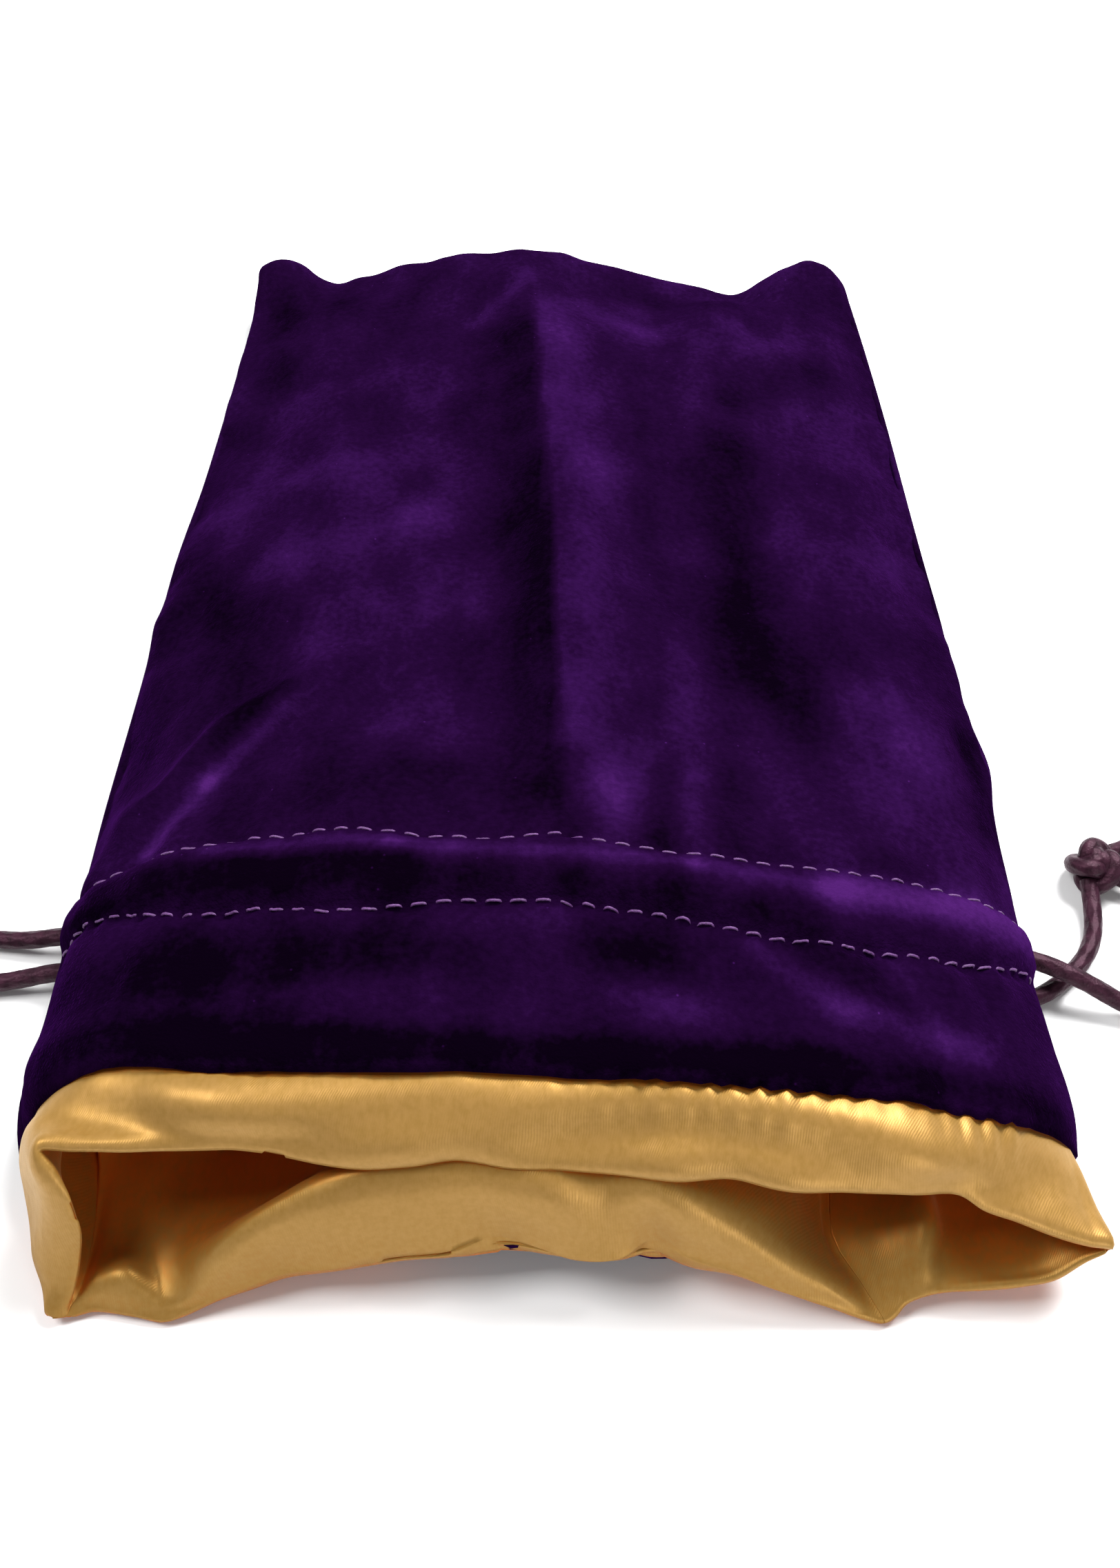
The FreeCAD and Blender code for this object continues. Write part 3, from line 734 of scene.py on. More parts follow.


# Strokes of painted light and shade on the folds, the channel and along the mouth seam, with streaks where
# the pile lies over, as (from across, along, to across, along, width, how much brighter). The rest of the
# velvet is in between.
NAP_AND_PAINTED_SHADE_STROKES = [
    (-50, 85, -39, 87, 8, -0.25), (-54, 74, -50, 68, 7, -0.2), (-50, 52, -41, 54, 5, 0.14),
    (-54, 24, -20, 32, 5, 0.14), (-44, 4, -19, 15, 5, 0.16), (-60, 10, -60, -36, 7, -0.22),
    (-49, 0, -44, -26, 6, -0.18), (-52, -54, -46, -41, 1.5, 0.32), (-46, -41, -37, -29, 1.7, 0.28),
    (-48, -37, -38, -25, 3.0, -0.15), (-41, -51, -20, -43, 6, -0.2), (-38, -14, -18, -3, 9, 0.08),
    (29, 35, 29, -8, 7, -0.24), (30, -18, 37, -29, 7, -0.26), (53, 54, 56, 12, 7, 0.14),
    (44, -28, 47, -32, 8, 0.2), (54, -39, 52, -48, 5, 0.12), (61, -26, 61, -42, 3, -0.3),
    (16, 91, 33, 84, 4, -0.12), (5, 80, 17, 71, 4, 0.18), (-4, 90, -14, 74, 2.5, 0.14),
    (38, 67, 54, 79, 4, 0.1), (47, 63, 34, 50, 5, -0.16), (-14, -44, -13, -56, 3, -0.16),
    (3, -42, 3, -55, 2.6, -0.22), (15, -44, 14, -58, 2.6, -0.2), (24, -43, 23, -58, 2.6, -0.12),
    (8, -44, 9, -56, 2.6, 0.12), (19, -44, 19, -58, 2.4, 0.16), (46, -42, 45, -53, 4, 0.12),
    (-43, -58, -19, -59.6, 1.2, 0.3), (-19, -59.6, 18, -62, 1.2, 0.3), (18, -62, 36, -64, 1.4, 0.26),
    (36, -64.4, 60, -61.5, 3.6, 0.52), (-58, -61, -19, -64, 3.4, -0.5), (-19, -64, 3, -65, 2.4, -0.2),
    (3, -65, 25, -68, 2.4, -0.18), (25, -68, 50, -68, 2.4, -0.12), (-46, -81, -14, -79, 2.0, 0.1),
    (-12, -71, -5, -70, 2.4, 0.16), (1, -70, 2, -78, 2.2, 0.16), (8, -80, 16, -82, 2.2, 0.18),
    (25, -73, 35, -81, 2.0, 0.24), (35, -81, 50, -84, 2.0, 0.22), (41, -72, 46, -82, 2.0, 0.18),
    (58, -70, 58, -78, 4, 0.12), (-46, -72, -18, -75, 5, -0.2), (6, -74, 16, -76, 3.5, -0.14),
    (32, -73, 36, -76, 3, -0.14), (-58, -84, -24, -87, 2.8, -0.4), (-24, -87, 31, -89, 2.8, -0.45),
    (31, -89, 60, -89, 2.8, -0.35), (-58, -76, -34, -80, 6, -0.28), (-30, -72, 22, -75, 6, -0.13),
    (44, -78, 60, -76, 6, -0.1),
]  # fmt: skip
PILE = 0.4  # how light the velvet is where its pile stands
RIDGE = [(-60, 1.8), (-48, 1.8), (-24, 1.0), (5, 0.4), (38, -1.4), (91, -4.1), (110, -5)]


def nap_and_painted_shade(x, y):
    """How light the velvet is, from 0 to 1, by the way its pile lies, with painted light and shade on the
    folds, the channel and along the mouth seam.
    """
    out = np.full(x.shape, PILE)
    for x0, y0, x1, y1, width, strength in NAP_AND_PAINTED_SHADE_STROKES:
        ahead = np.array([x1 - x0, y1 - y0])
        t = np.clip(((x - x0) * ahead[0] + (y - y0) * ahead[1]) / (ahead @ ahead), 0, 1)
        away = np.hypot(x - x0 - t * ahead[0], y - y0 - t * ahead[1])
        out += strength * bump(away, 0, width)
    beside = x - through(RIDGE, y)
    body = ramp((y + 58) / 12) * (1 - ramp((y - 60) / 30))
    out -= 0.3 * body * bump(beside, 0, 9) * ramp(0.5 - beside / 2)  # painted shade on the ridge's left side
    out += 0.16 * body * bump(beside, 5, 7) * ramp(0.5 + beside / 2)  # painted light on its right side
    return np.clip(out, 0, 1)


def store_nap_and_shade(piece, values):
    """Stores how light the velvet is at each point, its nap and painted light and shade together, for its
    material.
    """
    kept = piece.data.attributes.new("pile", "FLOAT", "POINT")
    kept.data.foreach_set("value", values.astype(np.float32).ravel())


def scallop(x):
    """Small gathers where velvet and satin are sewn together, from the middle to the right."""
    line = np.stack([x, x * 0, x * 0], axis=-1)
    uneven = 1.6 * noise_at(line, 9, 9)
    shown = 0.12 + 0.75 * ramp((x + 8) / 22) * (1 - ramp((x - 50) / 9))
    return shown * (0.75 + 0.5 * uneven) * np.cos(2 * math.pi * x / STITCH_PITCH + 1.4 * uneven)


# Soft dents and swellings of the front, as (across, along, half width, half length, slant, height).
DENTS = [
    (26.76, -12, 9, 26, 0.12, -1.8), (60, -31, 3, 9, 0, -1.3), (48, 5, 9, 34, 0, 1.3),
    (-38, 22, 10, 26, 0, 1.2),
]  # fmt: skip
CREST = [(-60, -45), (-56, -46), (-45, -32.6), (-31, -22), (-20, -18)]
# Folds from the channel to the mouth, as (across, slant, height).
MOUTH_FOLDS = [(36, 0.42, 1.0), (49, 0.35, 0.7), (-49, -0.3, 0.6), (8, 0.2, 0.5)]


def broad_folds(x, y):
    """The ridge along the middle, the crest from the left side, and the dents."""
    beside = x - through(RIDGE, y)
    width = np.where(beside < 0, 5.0, 9.5)
    out = 3.0 * bump(beside, 0, width) * ramp((y + 52) / 22) * (1 - 0.55 * ramp((y - 78) / 25))
    out -= 1.1 * bump(beside, -14, 7) * ramp((y + 40) / 30) * (1 - ramp((y - 70) / 30))
    crest = through(CREST, x)
    out += 1.7 * bump(y, crest, 4.2) * ramp((x + 62) / 8) * (1 - ramp((x + 34) / 18))
    out -= 1.2 * bump(y, crest - 8, 6) * ramp((x + 60) / 10) * (1 - ramp((x + 36) / 18))
    for across, along, wide, long, slant, height in DENTS:
        out += height * bump(x + slant * (y - along), across, wide) * bump(y, along, long)
    for across, slant, height in MOUTH_FOLDS:
        out += height * bump(x, across - slant * (y + 78), 3.2) * ramp((-66 - y) / 8)
    return out


def channel_folds(x, y):
    """The raised channel, its stitched valleys and the puckers that fade away from them."""
    upper, lower = stitch_lines(x)
    place = 2 * (upper - y) / np.maximum(upper - lower, 1.0) - 1  # -1 to 1 across the channel
    out = 1.1 * np.sqrt(np.clip(1 - place**4, 0, 1)) * (np.abs(place) < 1)
    for line, depth in ((upper, 0.4), (lower, 0.7)):
        out -= depth * bump(y, line, 1.2) * (1 + 0.35 * np.cos(2 * math.pi * x / STITCH_PITCH))
    puckers = np.sin(2 * math.pi * (x + 0.12 * y) / 11.3) + 0.6 * np.sin(2 * math.pi * x / 6.1 + 1)
    above, below = np.maximum(y - upper, 0), np.maximum(lower - y, 0)
    near = np.exp(-above / 7) * (above > 0) + np.exp(-below / 9) * (below > 0)
    return out + 0.3 * puckers * near


def front_folds(x, y, z):
    """How far the cloth stands out of the front's base, in millimetres."""
    points = np.stack([x, y, z], axis=-1)
    soft = noise_at(points * (1.0, 0.6, 0.5), 17, 1) + 0.5 * noise_at(points, 8, 2)
    calm = 0.45 + 0.55 * ramp((y + 66) / 20)
    uneven = (1.7 * soft + 0.22 * noise_at(points, 3.4, 3)) * calm
    return broad_folds(x, y) + channel_folds(x, y) + uneven


def rows_between(start, end, spacing):
    """Rows between two places, about spacing apart."""
    return np.linspace(start, end, int(abs(end - start) / spacing) + 1)


def seam_pull(x, y, seam):
    """How far a row is moved so that the first one lies on a seam, fading over 16 mm."""
    return (through(seam, x) - MOUTH_ROW) * (1 - ramp((y - MOUTH_ROW) / 16))


def rounding(y):
    """0 along the bag, and up to nearly 1 as a quarter circle at the sewn bottom."""
    share = np.clip((y - (FAR_END - ROUND_END)) / ROUND_END, 0, 1)
    return 1 - np.sqrt(1 - share**2 * 0.999)


def narrow(grid, by):
    """Draws the rows a little together where the shell rounds over."""
    middle = grid[..., 0].mean(axis=1, keepdims=True)
    grid[..., 0] += (middle - grid[..., 0]) * 0.05 * by


def turn_hem(grid, x, fade):
    """Turns the velvet's edge under where the satin is sewn to it, and gathers it there."""
    beyond = grid[..., 1] - through(FRONT_SEAM, x)
    grid -= normals(grid) * (HEM * bump(beyond, 0, HEM) * fade)[..., None]
    gathers = 0.45 * scallop(x) * np.exp(-(grid[..., 1] - through(FRONT_SEAM, x)) / 3.5)
    grid[..., 1] += gathers * fade
    grid[..., 2] -= 0.5 * gathers * fade


def make_velvet_front(material):
    """The front panel: crowned, with ears and hollows at the sewn bottom and a raised channel."""
    rows = rows_between(MOUTH_ROW, FAR_END, 0.9)
    y, turn = np.meshgrid(rows, np.linspace(0, math.pi, 181), indexing="ij")
    x, z = front_base(turn, y)
    y = y + seam_pull(x, y, FRONT_SEAM)
    grid = np.stack([x, y, z], axis=-1)
    fade = ramp(np.minimum(turn, math.pi - turn) / 0.16)
    grid += normals(grid) * (front_folds(x, y, z) * fade)[..., None]
    grid[..., 2] += (seam_at(x, y) - grid[..., 2]) * rounding(y)
    grid[..., 1] -= far_end_in(x, y)
    narrow(grid, rounding(y))
    turn_hem(grid, x, fade)
    piece = sheet_mesh("velvet_front_shell", grid, material, VELVET, offset=-1)
    # The front's nap, with painted light and shade on its folds, channel and mouth seam.
    store_nap_and_shade(piece, nap_and_painted_shade(grid[..., 0], grid[..., 1]))
    stand_for(piece, "velvet", "velvet_front_panel", "velvet_front_lip")
    return grid


def back_base(share, y):
    """The back's outside: flat on the table, rising to the seams and arching at the mouth."""
    left, right = edges_at(y)
    middle, half = (left + right) / 2, (right - left) / 2
    x = middle + half * share
    seam = through(SEAM_HEIGHT, y)
    opened = np.where(x < 0, slit(y, "left"), slit(y, "right"))
    seam = seam + (1.6 - seam) * opened
    z = seam * (1 - np.clip(1 - np.abs(share) ** 8, 0, 1) ** 0.5)
    arch = 8.0 * np.exp(-((x / 20) ** 2)) * ramp((-72 - y) / 27)
    return x, np.maximum(z, arch) + 0.15


def make_velvet_back(material):
    """The back panel, on the table."""
    rows = rows_between(MOUTH_ROW, FAR_END, 1.4)
    shares = np.sin(np.linspace(-math.pi / 2, math.pi / 2, 121))
    y, share = np.meshgrid(rows, shares, indexing="ij")
    x, _ = back_base(share, y)
    y = y + seam_pull(x, y, BACK_SEAM)
    x, z = back_base(share, y)
    z = z + (seam_at(x, y) - z) * rounding(y)
    grid = np.stack([x, y - far_end_in(x, y), z], axis=-1)
    narrow(grid, rounding(y))
    inner = ramp((1 - np.abs(share)) / 0.1) * ramp((FAR_END - y) / 8)
    grid[..., 2] += 0.35 * (0.5 + noise_at(grid, 14, 4)) * inner
    grid = grid[:, ::-1]
    piece = sheet_mesh("velvet_back_shell", grid, material, VELVET, offset=-1)
    store_nap_and_shade(piece, PILE + 0.5 * noise_at(grid * (1.0, 0.5, 1.0), 16, 11))
    stand_for(piece, "velvet", "velvet_back_panel", body="bag")
    return grid


# ---- the satin lining and its roll over the mouth ----

# Stations round the mouth, from the left corner over the front lip and back along the lower one.
# Points are (across, along, height). A corner's station says whether it is sewn to the front, its
# share across the bag, and the swell outside the rim, the rim, the fold inside it and the place
# where the lining settles. The front lip's only say their rim, and the back lip's leave out the
# swell.
LEFT_CORNER = [
    (False, -0.93, (-58.6, -104.4, 1.4), (-56.2, -107.2, 1.0), (-54.6, -104.6, 2.4), (-54.2, -99.0, 3.0)),
    (False, -0.985, (-60.4, -100.4, 4.4), (-55.2, -105.4, 3.6), (-55.2, -102.4, 5.2), (-56.6, -97.5, 5.4)),
    (True, -0.9995, (-61.4, -95.8, 8.0), (-53.9, -102.9, 7.9), (-55.9, -99.6, 8.4), (-58.2, -95.4, 8.4)),
    (True, -0.997, (-61.2, -93.6, 11.8), (-53.1, -101.5, 12.2), (-55.7, -98.2, 12.0), (-58.2, -94.2, 11.8)),
    (True, -0.985, (-60.0, -92.8, 15.4), (-53.3, -100.2, 16.2), (-55.4, -97.0, 15.6), (-57.6, -93.2, 15.2)),
    (True, -0.955, (-58.0, -92.4, 19.0), (-54.8, -98.2, 19.4), (-55.2, -95.8, 17.6), (-55.8, -92.6, 16.0)),
]
FRONT_RIM = [
    (-56.3, -96.3, 21.2), (-52.5, -96.2, 21.0), (-47.5, -96.3, 21.0), (-41.6, -96.2, 21.0),
    (-35.0, -96.0, 20.9), (-28.5, -96.9, 20.4), (-21.5, -97.7, 19.9), (-15.1, -97.5, 20.0),
    (-10.0, -96.9, 20.2), (-4.2, -97.7, 19.8), (2.5, -98.0, 19.8), (8.5, -98.4, 19.5),
    (14.5, -98.8, 19.6), (21.0, -98.7, 19.6), (27.0, -99.9, 19.0), (33.5, -99.9, 18.4),
    (40.1, -99.7, 17.5), (46.3, -99.1, 16.0), (49.4, -100.3, 14.4), (53.0, -101.0, 13.2),
    (58.0, -102.1, 11.5), (61.6, -102.7, 10.6), (64.2, -102.9, 9.9),
]  # fmt: skip
BACK_RIM = [
    (0.98, (61.8, -103.4, 8.0), (60.3, -101.2, 7.2), (59.5, -98.5, 6.6)),
    (0.93, (58.4, -104.6, 6.0), (57.0, -102.4, 5.2), (56.5, -99.0, 4.2)),
    (0.87, (54.8, -104.9, 4.9), (53.4, -102.9, 4.3), (53.0, -99.0, 3.4)),
    (0.80, (50.5, -105.1, 4.3), (49.5, -102.4, 3.9), (49.3, -98.4, 3.4)),
    (0.73, (46.6, -105.2, 3.6), (46.4, -101.8, 4.2), (46.8, -98.0, 4.6)),
    (0.69, (44.1, -105.4, 2.9), (44.0, -102.4, 5.2), (44.8, -97.4, 7.2)),
    (0.65, (41.8, -106.0, 1.9), (41.4, -102.8, 3.7), (41.8, -98.0, 5.6)),
    (0.62, (40.3, -107.2, 1.0), (38.8, -103.4, 2.5), (38.0, -98.4, 4.2)),
    (0.60, (39.2, -107.7, 0.8), (36.7, -103.6, 2.2), (33.8, -98.4, 3.6)),
    (0.56, (37.0, -107.5, 1.2), (34.4, -105.0, 4.0), (32.2, -98.8, 4.6)),
    (0.50, (32.5, -106.7, 3.0), (29.8, -104.0, 7.4), (30.4, -98.2, 6.4)),
    (0.43, (27.2, -105.8, 5.0), (24.6, -102.9, 11.2), (27.6, -96.8, 9.6)),
    (0.34, (21.6, -104.6, 7.2), (19.8, -101.6, 14.4), (23.2, -95.6, 13.2)),
    (0.25, (16.3, -103.3, 8.4), (15.0, -100.2, 17.2), (17.2, -94.8, 16.6)),
    (0.18, (12.0, -101.7, 9.6), (10.8, -99.2, 18.4), (11.6, -94.4, 18.2)),
    (0.11, (8.4, -103.5, 9.0), (6.4, -98.8, 17.8), (6.4, -94.0, 18.0)),
    (0.04, (3.4, -103.5, 9.0), (1.2, -99.2, 19.0), (0.4, -94.0, 18.6)),
    (-0.03, (-1.2, -102.2, 9.3), (-3.6, -98.6, 18.8), (-4.4, -94.0, 18.6)),
    (-0.09, (-5.4, -101.3, 9.6), (-7.8, -98.2, 18.9), (-8.4, -94.0, 18.7)),
    (-0.17, (-11.4, -102.8, 8.4), (-13.6, -98.0, 19.0), (-14.0, -93.8, 18.4)),
    (-0.27, (-18.0, -103.0, 7.4), (-21.0, -98.2, 18.4), (-21.4, -93.4, 15.4)),
    (-0.37, (-24.6, -103.4, 6.0), (-27.6, -99.2, 16.4), (-29.4, -95.0, 9.0)),
    (-0.47, (-31.0, -103.7, 4.8), (-33.6, -101.2, 13.0), (-36.4, -96.8, 5.2)),
    (-0.57, (-37.6, -105.4, 2.6), (-38.4, -103.2, 8.4), (-41.4, -98.4, 3.6)),
    (-0.65, (-42.4, -107.2, 1.2), (-41.8, -105.2, 3.8), (-44.6, -99.4, 2.8)),
    (-0.70, (-44.6, -107.8, 0.8), (-44.6, -105.4, 2.6), (-46.4, -99.6, 2.8)),
    (-0.78, (-48.8, -107.2, 0.8), (-48.8, -103.9, 4.9), (-49.4, -99.6, 3.2)),
    (-0.87, (-53.0, -106.5, 0.8), (-52.4, -104.2, 3.8), (-52.2, -99.6, 3.2)),
]
RIGHT_FOOT = 8  # the back lip's station where the front's piece of lining ends
DEEP_ROWS = [-90, -86, -81, -76, -71, -67, -64, -60, -56, -52, -46, -36, -20, 0, 25, 50, 72, 84, 91]
RIM, SETTLED = 5, 8  # points of a station's profile
CORNER_SIDE = (-1.02, -1.326, 0.255)  # how far the left corner bellies out
LOWEST = 0.45  # height of the lowest satin over the table
FREE_SWELL = 0.8  # of the roll over the mouth at the back, where no swell is given
SIDE_INSET, TOP_INSET, BOTTOM_INSET = 2.8, 3.0, 2.4  # from the shell's outside to the lining
CHANNEL_ROOM, CHANNEL_INSET = 5.0, 2.0  # room for the cords, up and at the sides
CORD_TURN = 11.0  # more room where a cord turns back at the side of the bag
DEEP_INSET = 2.4  # more room at the sides of the pouch
TABLE_GAP, VELVET_GAP = 0.4, 1.6  # the least height of the rim, and how much more inside the bag
PER_STATION, PER_ROW = 16, 3  # columns from one station to the next, and rows from point to point


def deep_point(share, y, is_front):
    """Where the lining lies inside the bag, share of the way across it."""
    share, y = np.array(float(share)), np.array(float(y))
    channel = np.exp(-(((y - CHANNEL) / 7.5) ** 4))
    left, right = edges_at(y)
    middle, half = (left + right) / 2, (right - left) / 2
    deep = ramp((y + 56) / 14)
    beside = ramp((abs(share) - 0.55) / 0.35)  # the cords turn back inside the shell's sides
    inset = SIDE_INSET + (CHANNEL_INSET + CORD_TURN * beside) * channel + DEEP_INSET * deep
    seam = seam_at(middle + half * share, y)
    if is_front:
        x, z = front_base(turn_at(float(share), y), y)
        z = z - TOP_INSET - CHANNEL_ROOM * channel - deep * (0.3 * (z - seam) + 1.2)
        z = np.maximum(z, seam + 0.3 - 0.6 * deep)
    else:
        x, z = back_base(share, y)
        z = z + BOTTOM_INSET + CHANNEL_ROOM * channel
        z = np.minimum(z, np.maximum(seam - 0.3 - 0.8 * deep, 7.4 * channel))
    across = middle + (x - middle) * (1 - inset / half)
    return [float(across), float(y - far_end_in(x, y)), float(z)]


def sewn_point(share, is_front, shells):
    """Where the satin is sewn to the velvet's edge."""
    edge = shells[0 if is_front else 1][0]
    places = np.arange(len(edge))
    if is_front:
        at = turn_at(share, MOUTH_ROW) / math.pi * places[-1]
    else:
        at = (0.5 - math.asin(share) / math.pi) * places[-1]
    return read_line(edge, places, at)


def way_inside(settled, share, is_front):
    """The lining's points from where it settles to the far end of the bag."""
    points = []
    for row in DEEP_ROWS:
        y = max(row, settled[1] + 2.0 + 0.3 * (row - DEEP_ROWS[0]))
        deep = np.array(deep_point(share, y, is_front))
        held = ramp((y - settled[1]) / (14.0 if is_front else 24.0))
        near = np.array([settled[0], y, settled[2]])
        points.append(near + (deep - near) * held)
    return points


def station_profile(is_front, share, swell, rim, fold, settled, shells):
    """The satin's way from its sewn edge over the rim and into the bag, at one station."""
    sewn, rim = sewn_point(share, is_front, shells), np.array(rim)
    out = rim - sewn
    outward = [0.5 * share**5, -0.55, 0.85] if is_front else [0.25 * share, -0.5, -0.8]
    up = unit(np.array(outward))
    inside = -1 if is_front else 1  # the sewn edge lies under the front velvet, over the back
    under = sewn + (0, 2.4, 1.7 * inside)
    sewn = sewn + (0, 0.3, 0.9 * inside)
    if swell is None:
        thick = FREE_SWELL
        if is_front:
            thick = 0.3 + 1.8 * ramp((rim[0] + 57) / 20) * (1 - 0.8 * ramp((rim[0] - 48) / 12))
        first, second = sewn + out * 0.25 + up * thick * 0.75, sewn + out * 0.6 + up * thick
        before = rim - unit(out) * 1.3 + up * 0.8
    else:
        swell = np.array(swell)
        first, second = (sewn + swell) / 2, swell
        before = 0.35 * swell + 0.65 * rim + CORNER_SIDE
    if fold is None:
        rise = sewn[2] - rim[2]  # the inside stays under the outside where the edge is low
        fold = rim + (0, 2.6, min(0.9, 0.26 * rise - 0.5))
        settled = rim + (0, 5.2, min(1.8, 0.52 * rise - 1.8))
    inward = unit(np.array(fold) - rim)
    points = [under, sewn, first, second, before, rim, rim + inward * 1.1, fold, settled]
    points = np.array(points + way_inside(settled, share, is_front))
    points[:, 2] = np.maximum(points[:, 2], LOWEST)
    return points


def satin_grid(shells):
    """Points of the whole lining: rows from the sewn edge inwards, columns round the mouth."""
    left, right = edges_at(MOUTH_ROW)
    shares = [(rim[0] - (left + right) / 2) / ((right - left) / 2) for rim in FRONT_RIM]
    stations = [station_profile(*station, shells) for station in LEFT_CORNER]
    stations += [
        station_profile(True, min(share, 0.992), None, rim, None, None, shells)
        for share, rim in zip(shares, FRONT_RIM)
    ]
    in_front = len(stations) + RIGHT_FOOT
    stations += [station_profile(False, share, None, *places, shells) for share, *places in BACK_RIM]
    stations = np.array(stations)
    columns = ring_spline(stations, PER_STATION, key=RIM)
    last = stations.shape[1] - 1
    at = np.linspace(0, last, last * PER_ROW + 1)
    rows = spline(np.arange(last + 1), columns.transpose(1, 0, 2), at)
    return rows, at, in_front


def satin_folds(grid, at):
    """Puckers along the sewn edge, soft rolls on the cuff and small folds inside."""
    row, x = at[:, None], grid[..., 0]
    puckers = 0.16 * bump(row, 1.5, 0.7) * scallop(x) * ramp((grid[..., 2] - 14) / 6)
    calm = ramp((64 - np.abs(x)) / 9)
    rolls = 2.2 * bump(row, 3.1, 1.2) * noise_at(grid * (0.45, 1.6, 0.8), 9, 6)
    points = grid * (1.0, 0.8, 0.8)
    soft = 0.6 * noise_at(points, 9, 6) + 0.25 * noise_at(points, 4.5, 7)
    inside = ramp((row - SETTLED) / 3)
    return puckers + (rolls + soft * (0.5 + 0.2 * inside)) * calm


def inner_creases(grid, at):
    """How far creases that run into the bag stand into it."""
    x = grid[..., 0]
    waves = np.sin(2 * math.pi * (x + 4 * noise_at(grid, 20, 8)) / 9.5)
    return 1.5 * (1 + waves) / 2 * ramp((at[:, None] - SETTLED) / 3) * ramp((np.abs(x) - 18) / 10)


def make_lining(material, shells):
    """The lining and its roll over the mouth, in a front and a back piece."""
    grid, at, in_front = satin_grid(shells)
    wrapped = np.concatenate([grid[:, -1:], grid, grid[:, :1]], axis=1)
    grid = grid - normals(wrapped)[:, 1:-1] * satin_folds(grid, at)[..., None]
    total, split = grid.shape[1], in_front * PER_STATION
    into_bag = np.where(np.arange(total) < split, -1.0, 1.0)
    grid[..., 2] += into_bag * inner_creases(grid, at)
    lowest = TABLE_GAP + VELVET_GAP * ramp((at[:, None] - SETTLED) / 2)
    grid[..., 2] = np.maximum(grid[..., 2], lowest)
    front, back = np.arange(split + 1), np.arange(split, total + 1) % total
    pieces = [
        sheet_mesh(f"satin_{name}_lining", grid[:, columns][:, ::-1], material, SATIN, offset=1)
        for name, columns in (("front", front), ("back", back))
    ]
    cuffs = "satin_cuff_front", "satin_cuff_corners"
    stand_for(pieces[0], "satin", "lining_front_panel", "lining_front_lip", *cuffs)
    stand_for(pieces[1], "satin", "lining_back_panel", "satin_cuff_back", body="bag")


# ---- thread ----

STITCH_LENGTH = 2.3
STITCH_START = 0.35  # of the first stitch along its row
STITCH_RINGS, STITCH_SIDES = 9, 8
STITCH_DIP = 0.55  # how far a stitch's ends go into the cloth
THREAD = 0.38


def along_line(grid, line):
    """Points on a grid where it crosses a line given as the place along the bag by column."""
    found = []
    for c in range(grid.shape[1]):
        column = grid[:, c][np.argsort(grid[:, c, 1], kind="stable")]
        found.append(read_line(column, column[:, 1], line[c]))
    return np.array(found)


def stitch_tubes(path, out, sink=0.1):
    """One short raised thread for each stitch along a path whose outside points along out."""
    dense, at = even(path, 0.1)
    facing = unit(read_line(out, np.linspace(0, 1, len(out)), np.linspace(0, 1, len(dense))))
    share = np.linspace(-1, 1, STITCH_RINGS)  # from one end of a stitch to the other
    lift = THREAD / 2 - sink - STITCH_DIP * share**4
    radius = THREAD / 2 * np.sqrt(1 - 0.75 * share**6) * (1 + 0.08 * np.cos(share * 9))
    turn = np.arange(STITCH_SIDES) * 2 * math.pi / STITCH_SIDES
    tubes = []
    for n in range(int(at[-1] / STITCH_PITCH)):
        start = n * STITCH_PITCH + STITCH_START
        places = np.linspace(start, start + STITCH_LENGTH, STITCH_RINGS)
        up = read_line(facing, at, places)
        middle = read_line(dense, at, places) + up * lift[:, None]
        side = unit(np.cross(unit(np.gradient(middle, axis=0)), up))
        tubes.append((rings_round(middle, radius[:, None], turn, side, up), False))
    return tubes


def straight_row(path, up, sink):
    """Stitches along a path that all face up, or down where up is -1."""
    return stitch_tubes(path, np.tile((0.0, 0.0, up), (len(path), 1)), sink)


def edge_path(grid, column, inset, below, low, high):
    """A row down one side of a panel, inset from its edge and below it, between two places."""
    path = grid[:, column]
    path = path[(path[:, 1] > low) & (path[:, 1] < high)]
    return path - np.array([inset * math.copysign(1, path[0, 0]), 0, below])


def add_thread(node, tubes, material, slot, name="", body="bag"):
    """One piece of thread, named after the node that it replaces if it has no name of its own."""
    stand_for(tube_mesh(name or f"{node}_thread", tubes, material), slot, node, body=body)


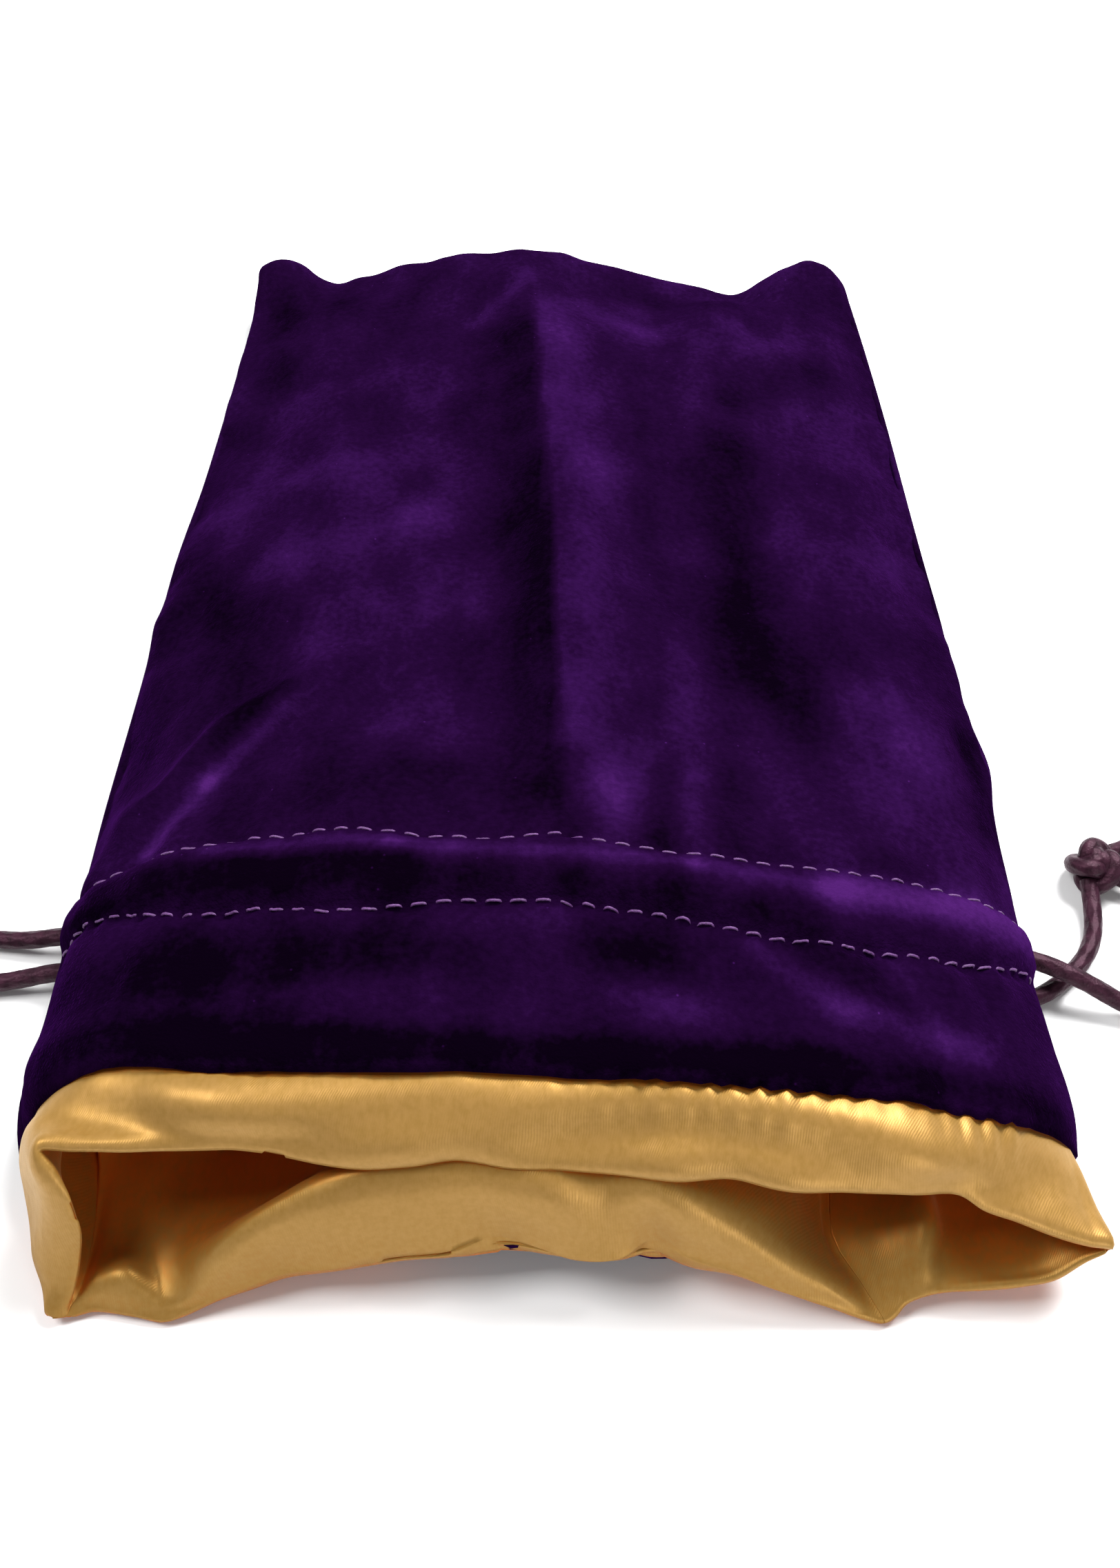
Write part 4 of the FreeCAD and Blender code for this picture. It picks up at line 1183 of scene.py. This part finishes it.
def make_channel_stitches(material, shells):
    """Two rows of stitches on the front and two on the back."""
    inner = slice(3, -3)  # the rows stop short of the side seams
    for name, grid, sign in (("front", shells[0], 1), ("back", shells[1], -1)):
        facing = normals(grid)
        facing *= sign * np.sign(np.mean(facing[len(grid) // 2, :, 2]))
        near = np.argmin(np.abs(grid[:, grid.shape[1] // 2, 1] - CHANNEL))
        tubes = []
        for line in stitch_lines(grid[near, :, 0]):
            tubes += stitch_tubes(along_line(grid, line)[inner], facing[near][inner])
        node = f"channel_stitches_{name}"
        add_thread(node, tubes, material, "stitch_thread", name=node + "_rows")


def make_seams(material, shells):
    """The rows of thread inside the seams: sides, lining, bottom and mouth."""
    front, back = shells
    slot, away = "seam_thread", 8.0  # the side seams end this far from the cords' exits
    for side, column in (("left", 0), ("right", -1)):
        tubes = []
        for low, high in ((-89, EXITS[side] - away), (EXITS[side] + away, FAR_END - 3)):
            tubes += straight_row(edge_path(front, column, 2.0, 1.2, low, high), 1, sink=0.6)
        add_thread(f"side_seam_{side}", tubes, material, slot)
    tubes = []
    for column in (0, -1):
        for low, high in ((-86, -69), (-52, 70)):
            tubes += straight_row(edge_path(front, column, 2.3, 0.4, low, high), 1, sink=0.4)
    add_thread("lining_side_seams", tubes, material, slot, name="lining_seam_thread")
    tubes = straight_row(front[-1, 6:-6] - (0, 2.6, 0.4), 1, sink=0.4)
    add_thread("bottom_seam", tubes, material, slot)
    tubes = straight_row(front[0, 10:-10] + (0, 0.7, -1.3), 1, sink=0.25)
    add_thread("mouth_seam_front", tubes, material, slot, body=None)  # without a body, its place is baked into its points
    tubes = straight_row(back[0, 14:-14] + (0, 0.7, 1.3), -1, sink=0.25)
    add_thread("mouth_seam_back", tubes, material, slot)


# ---- the whole ----

bpy.context.scene.view_settings.view_transform = "Standard"
make_camera()
make_studio(floor_material())
cord_look = cord_material()
make_cords(cord_look)
velvet_look, satin_look = velvet_material(), satin_material()
shells = make_velvet_front(velvet_look), make_velvet_back(velvet_look)
make_lining(satin_look, shells)
seam_look = thread_material("seam_thread", (0.02, 0.006, 0.035))
stitch_look = thread_material("stitch_thread", (0.085, 0.024, 0.12))
make_channel_stitches(stitch_look, shells)
make_seams(seam_look, shells)
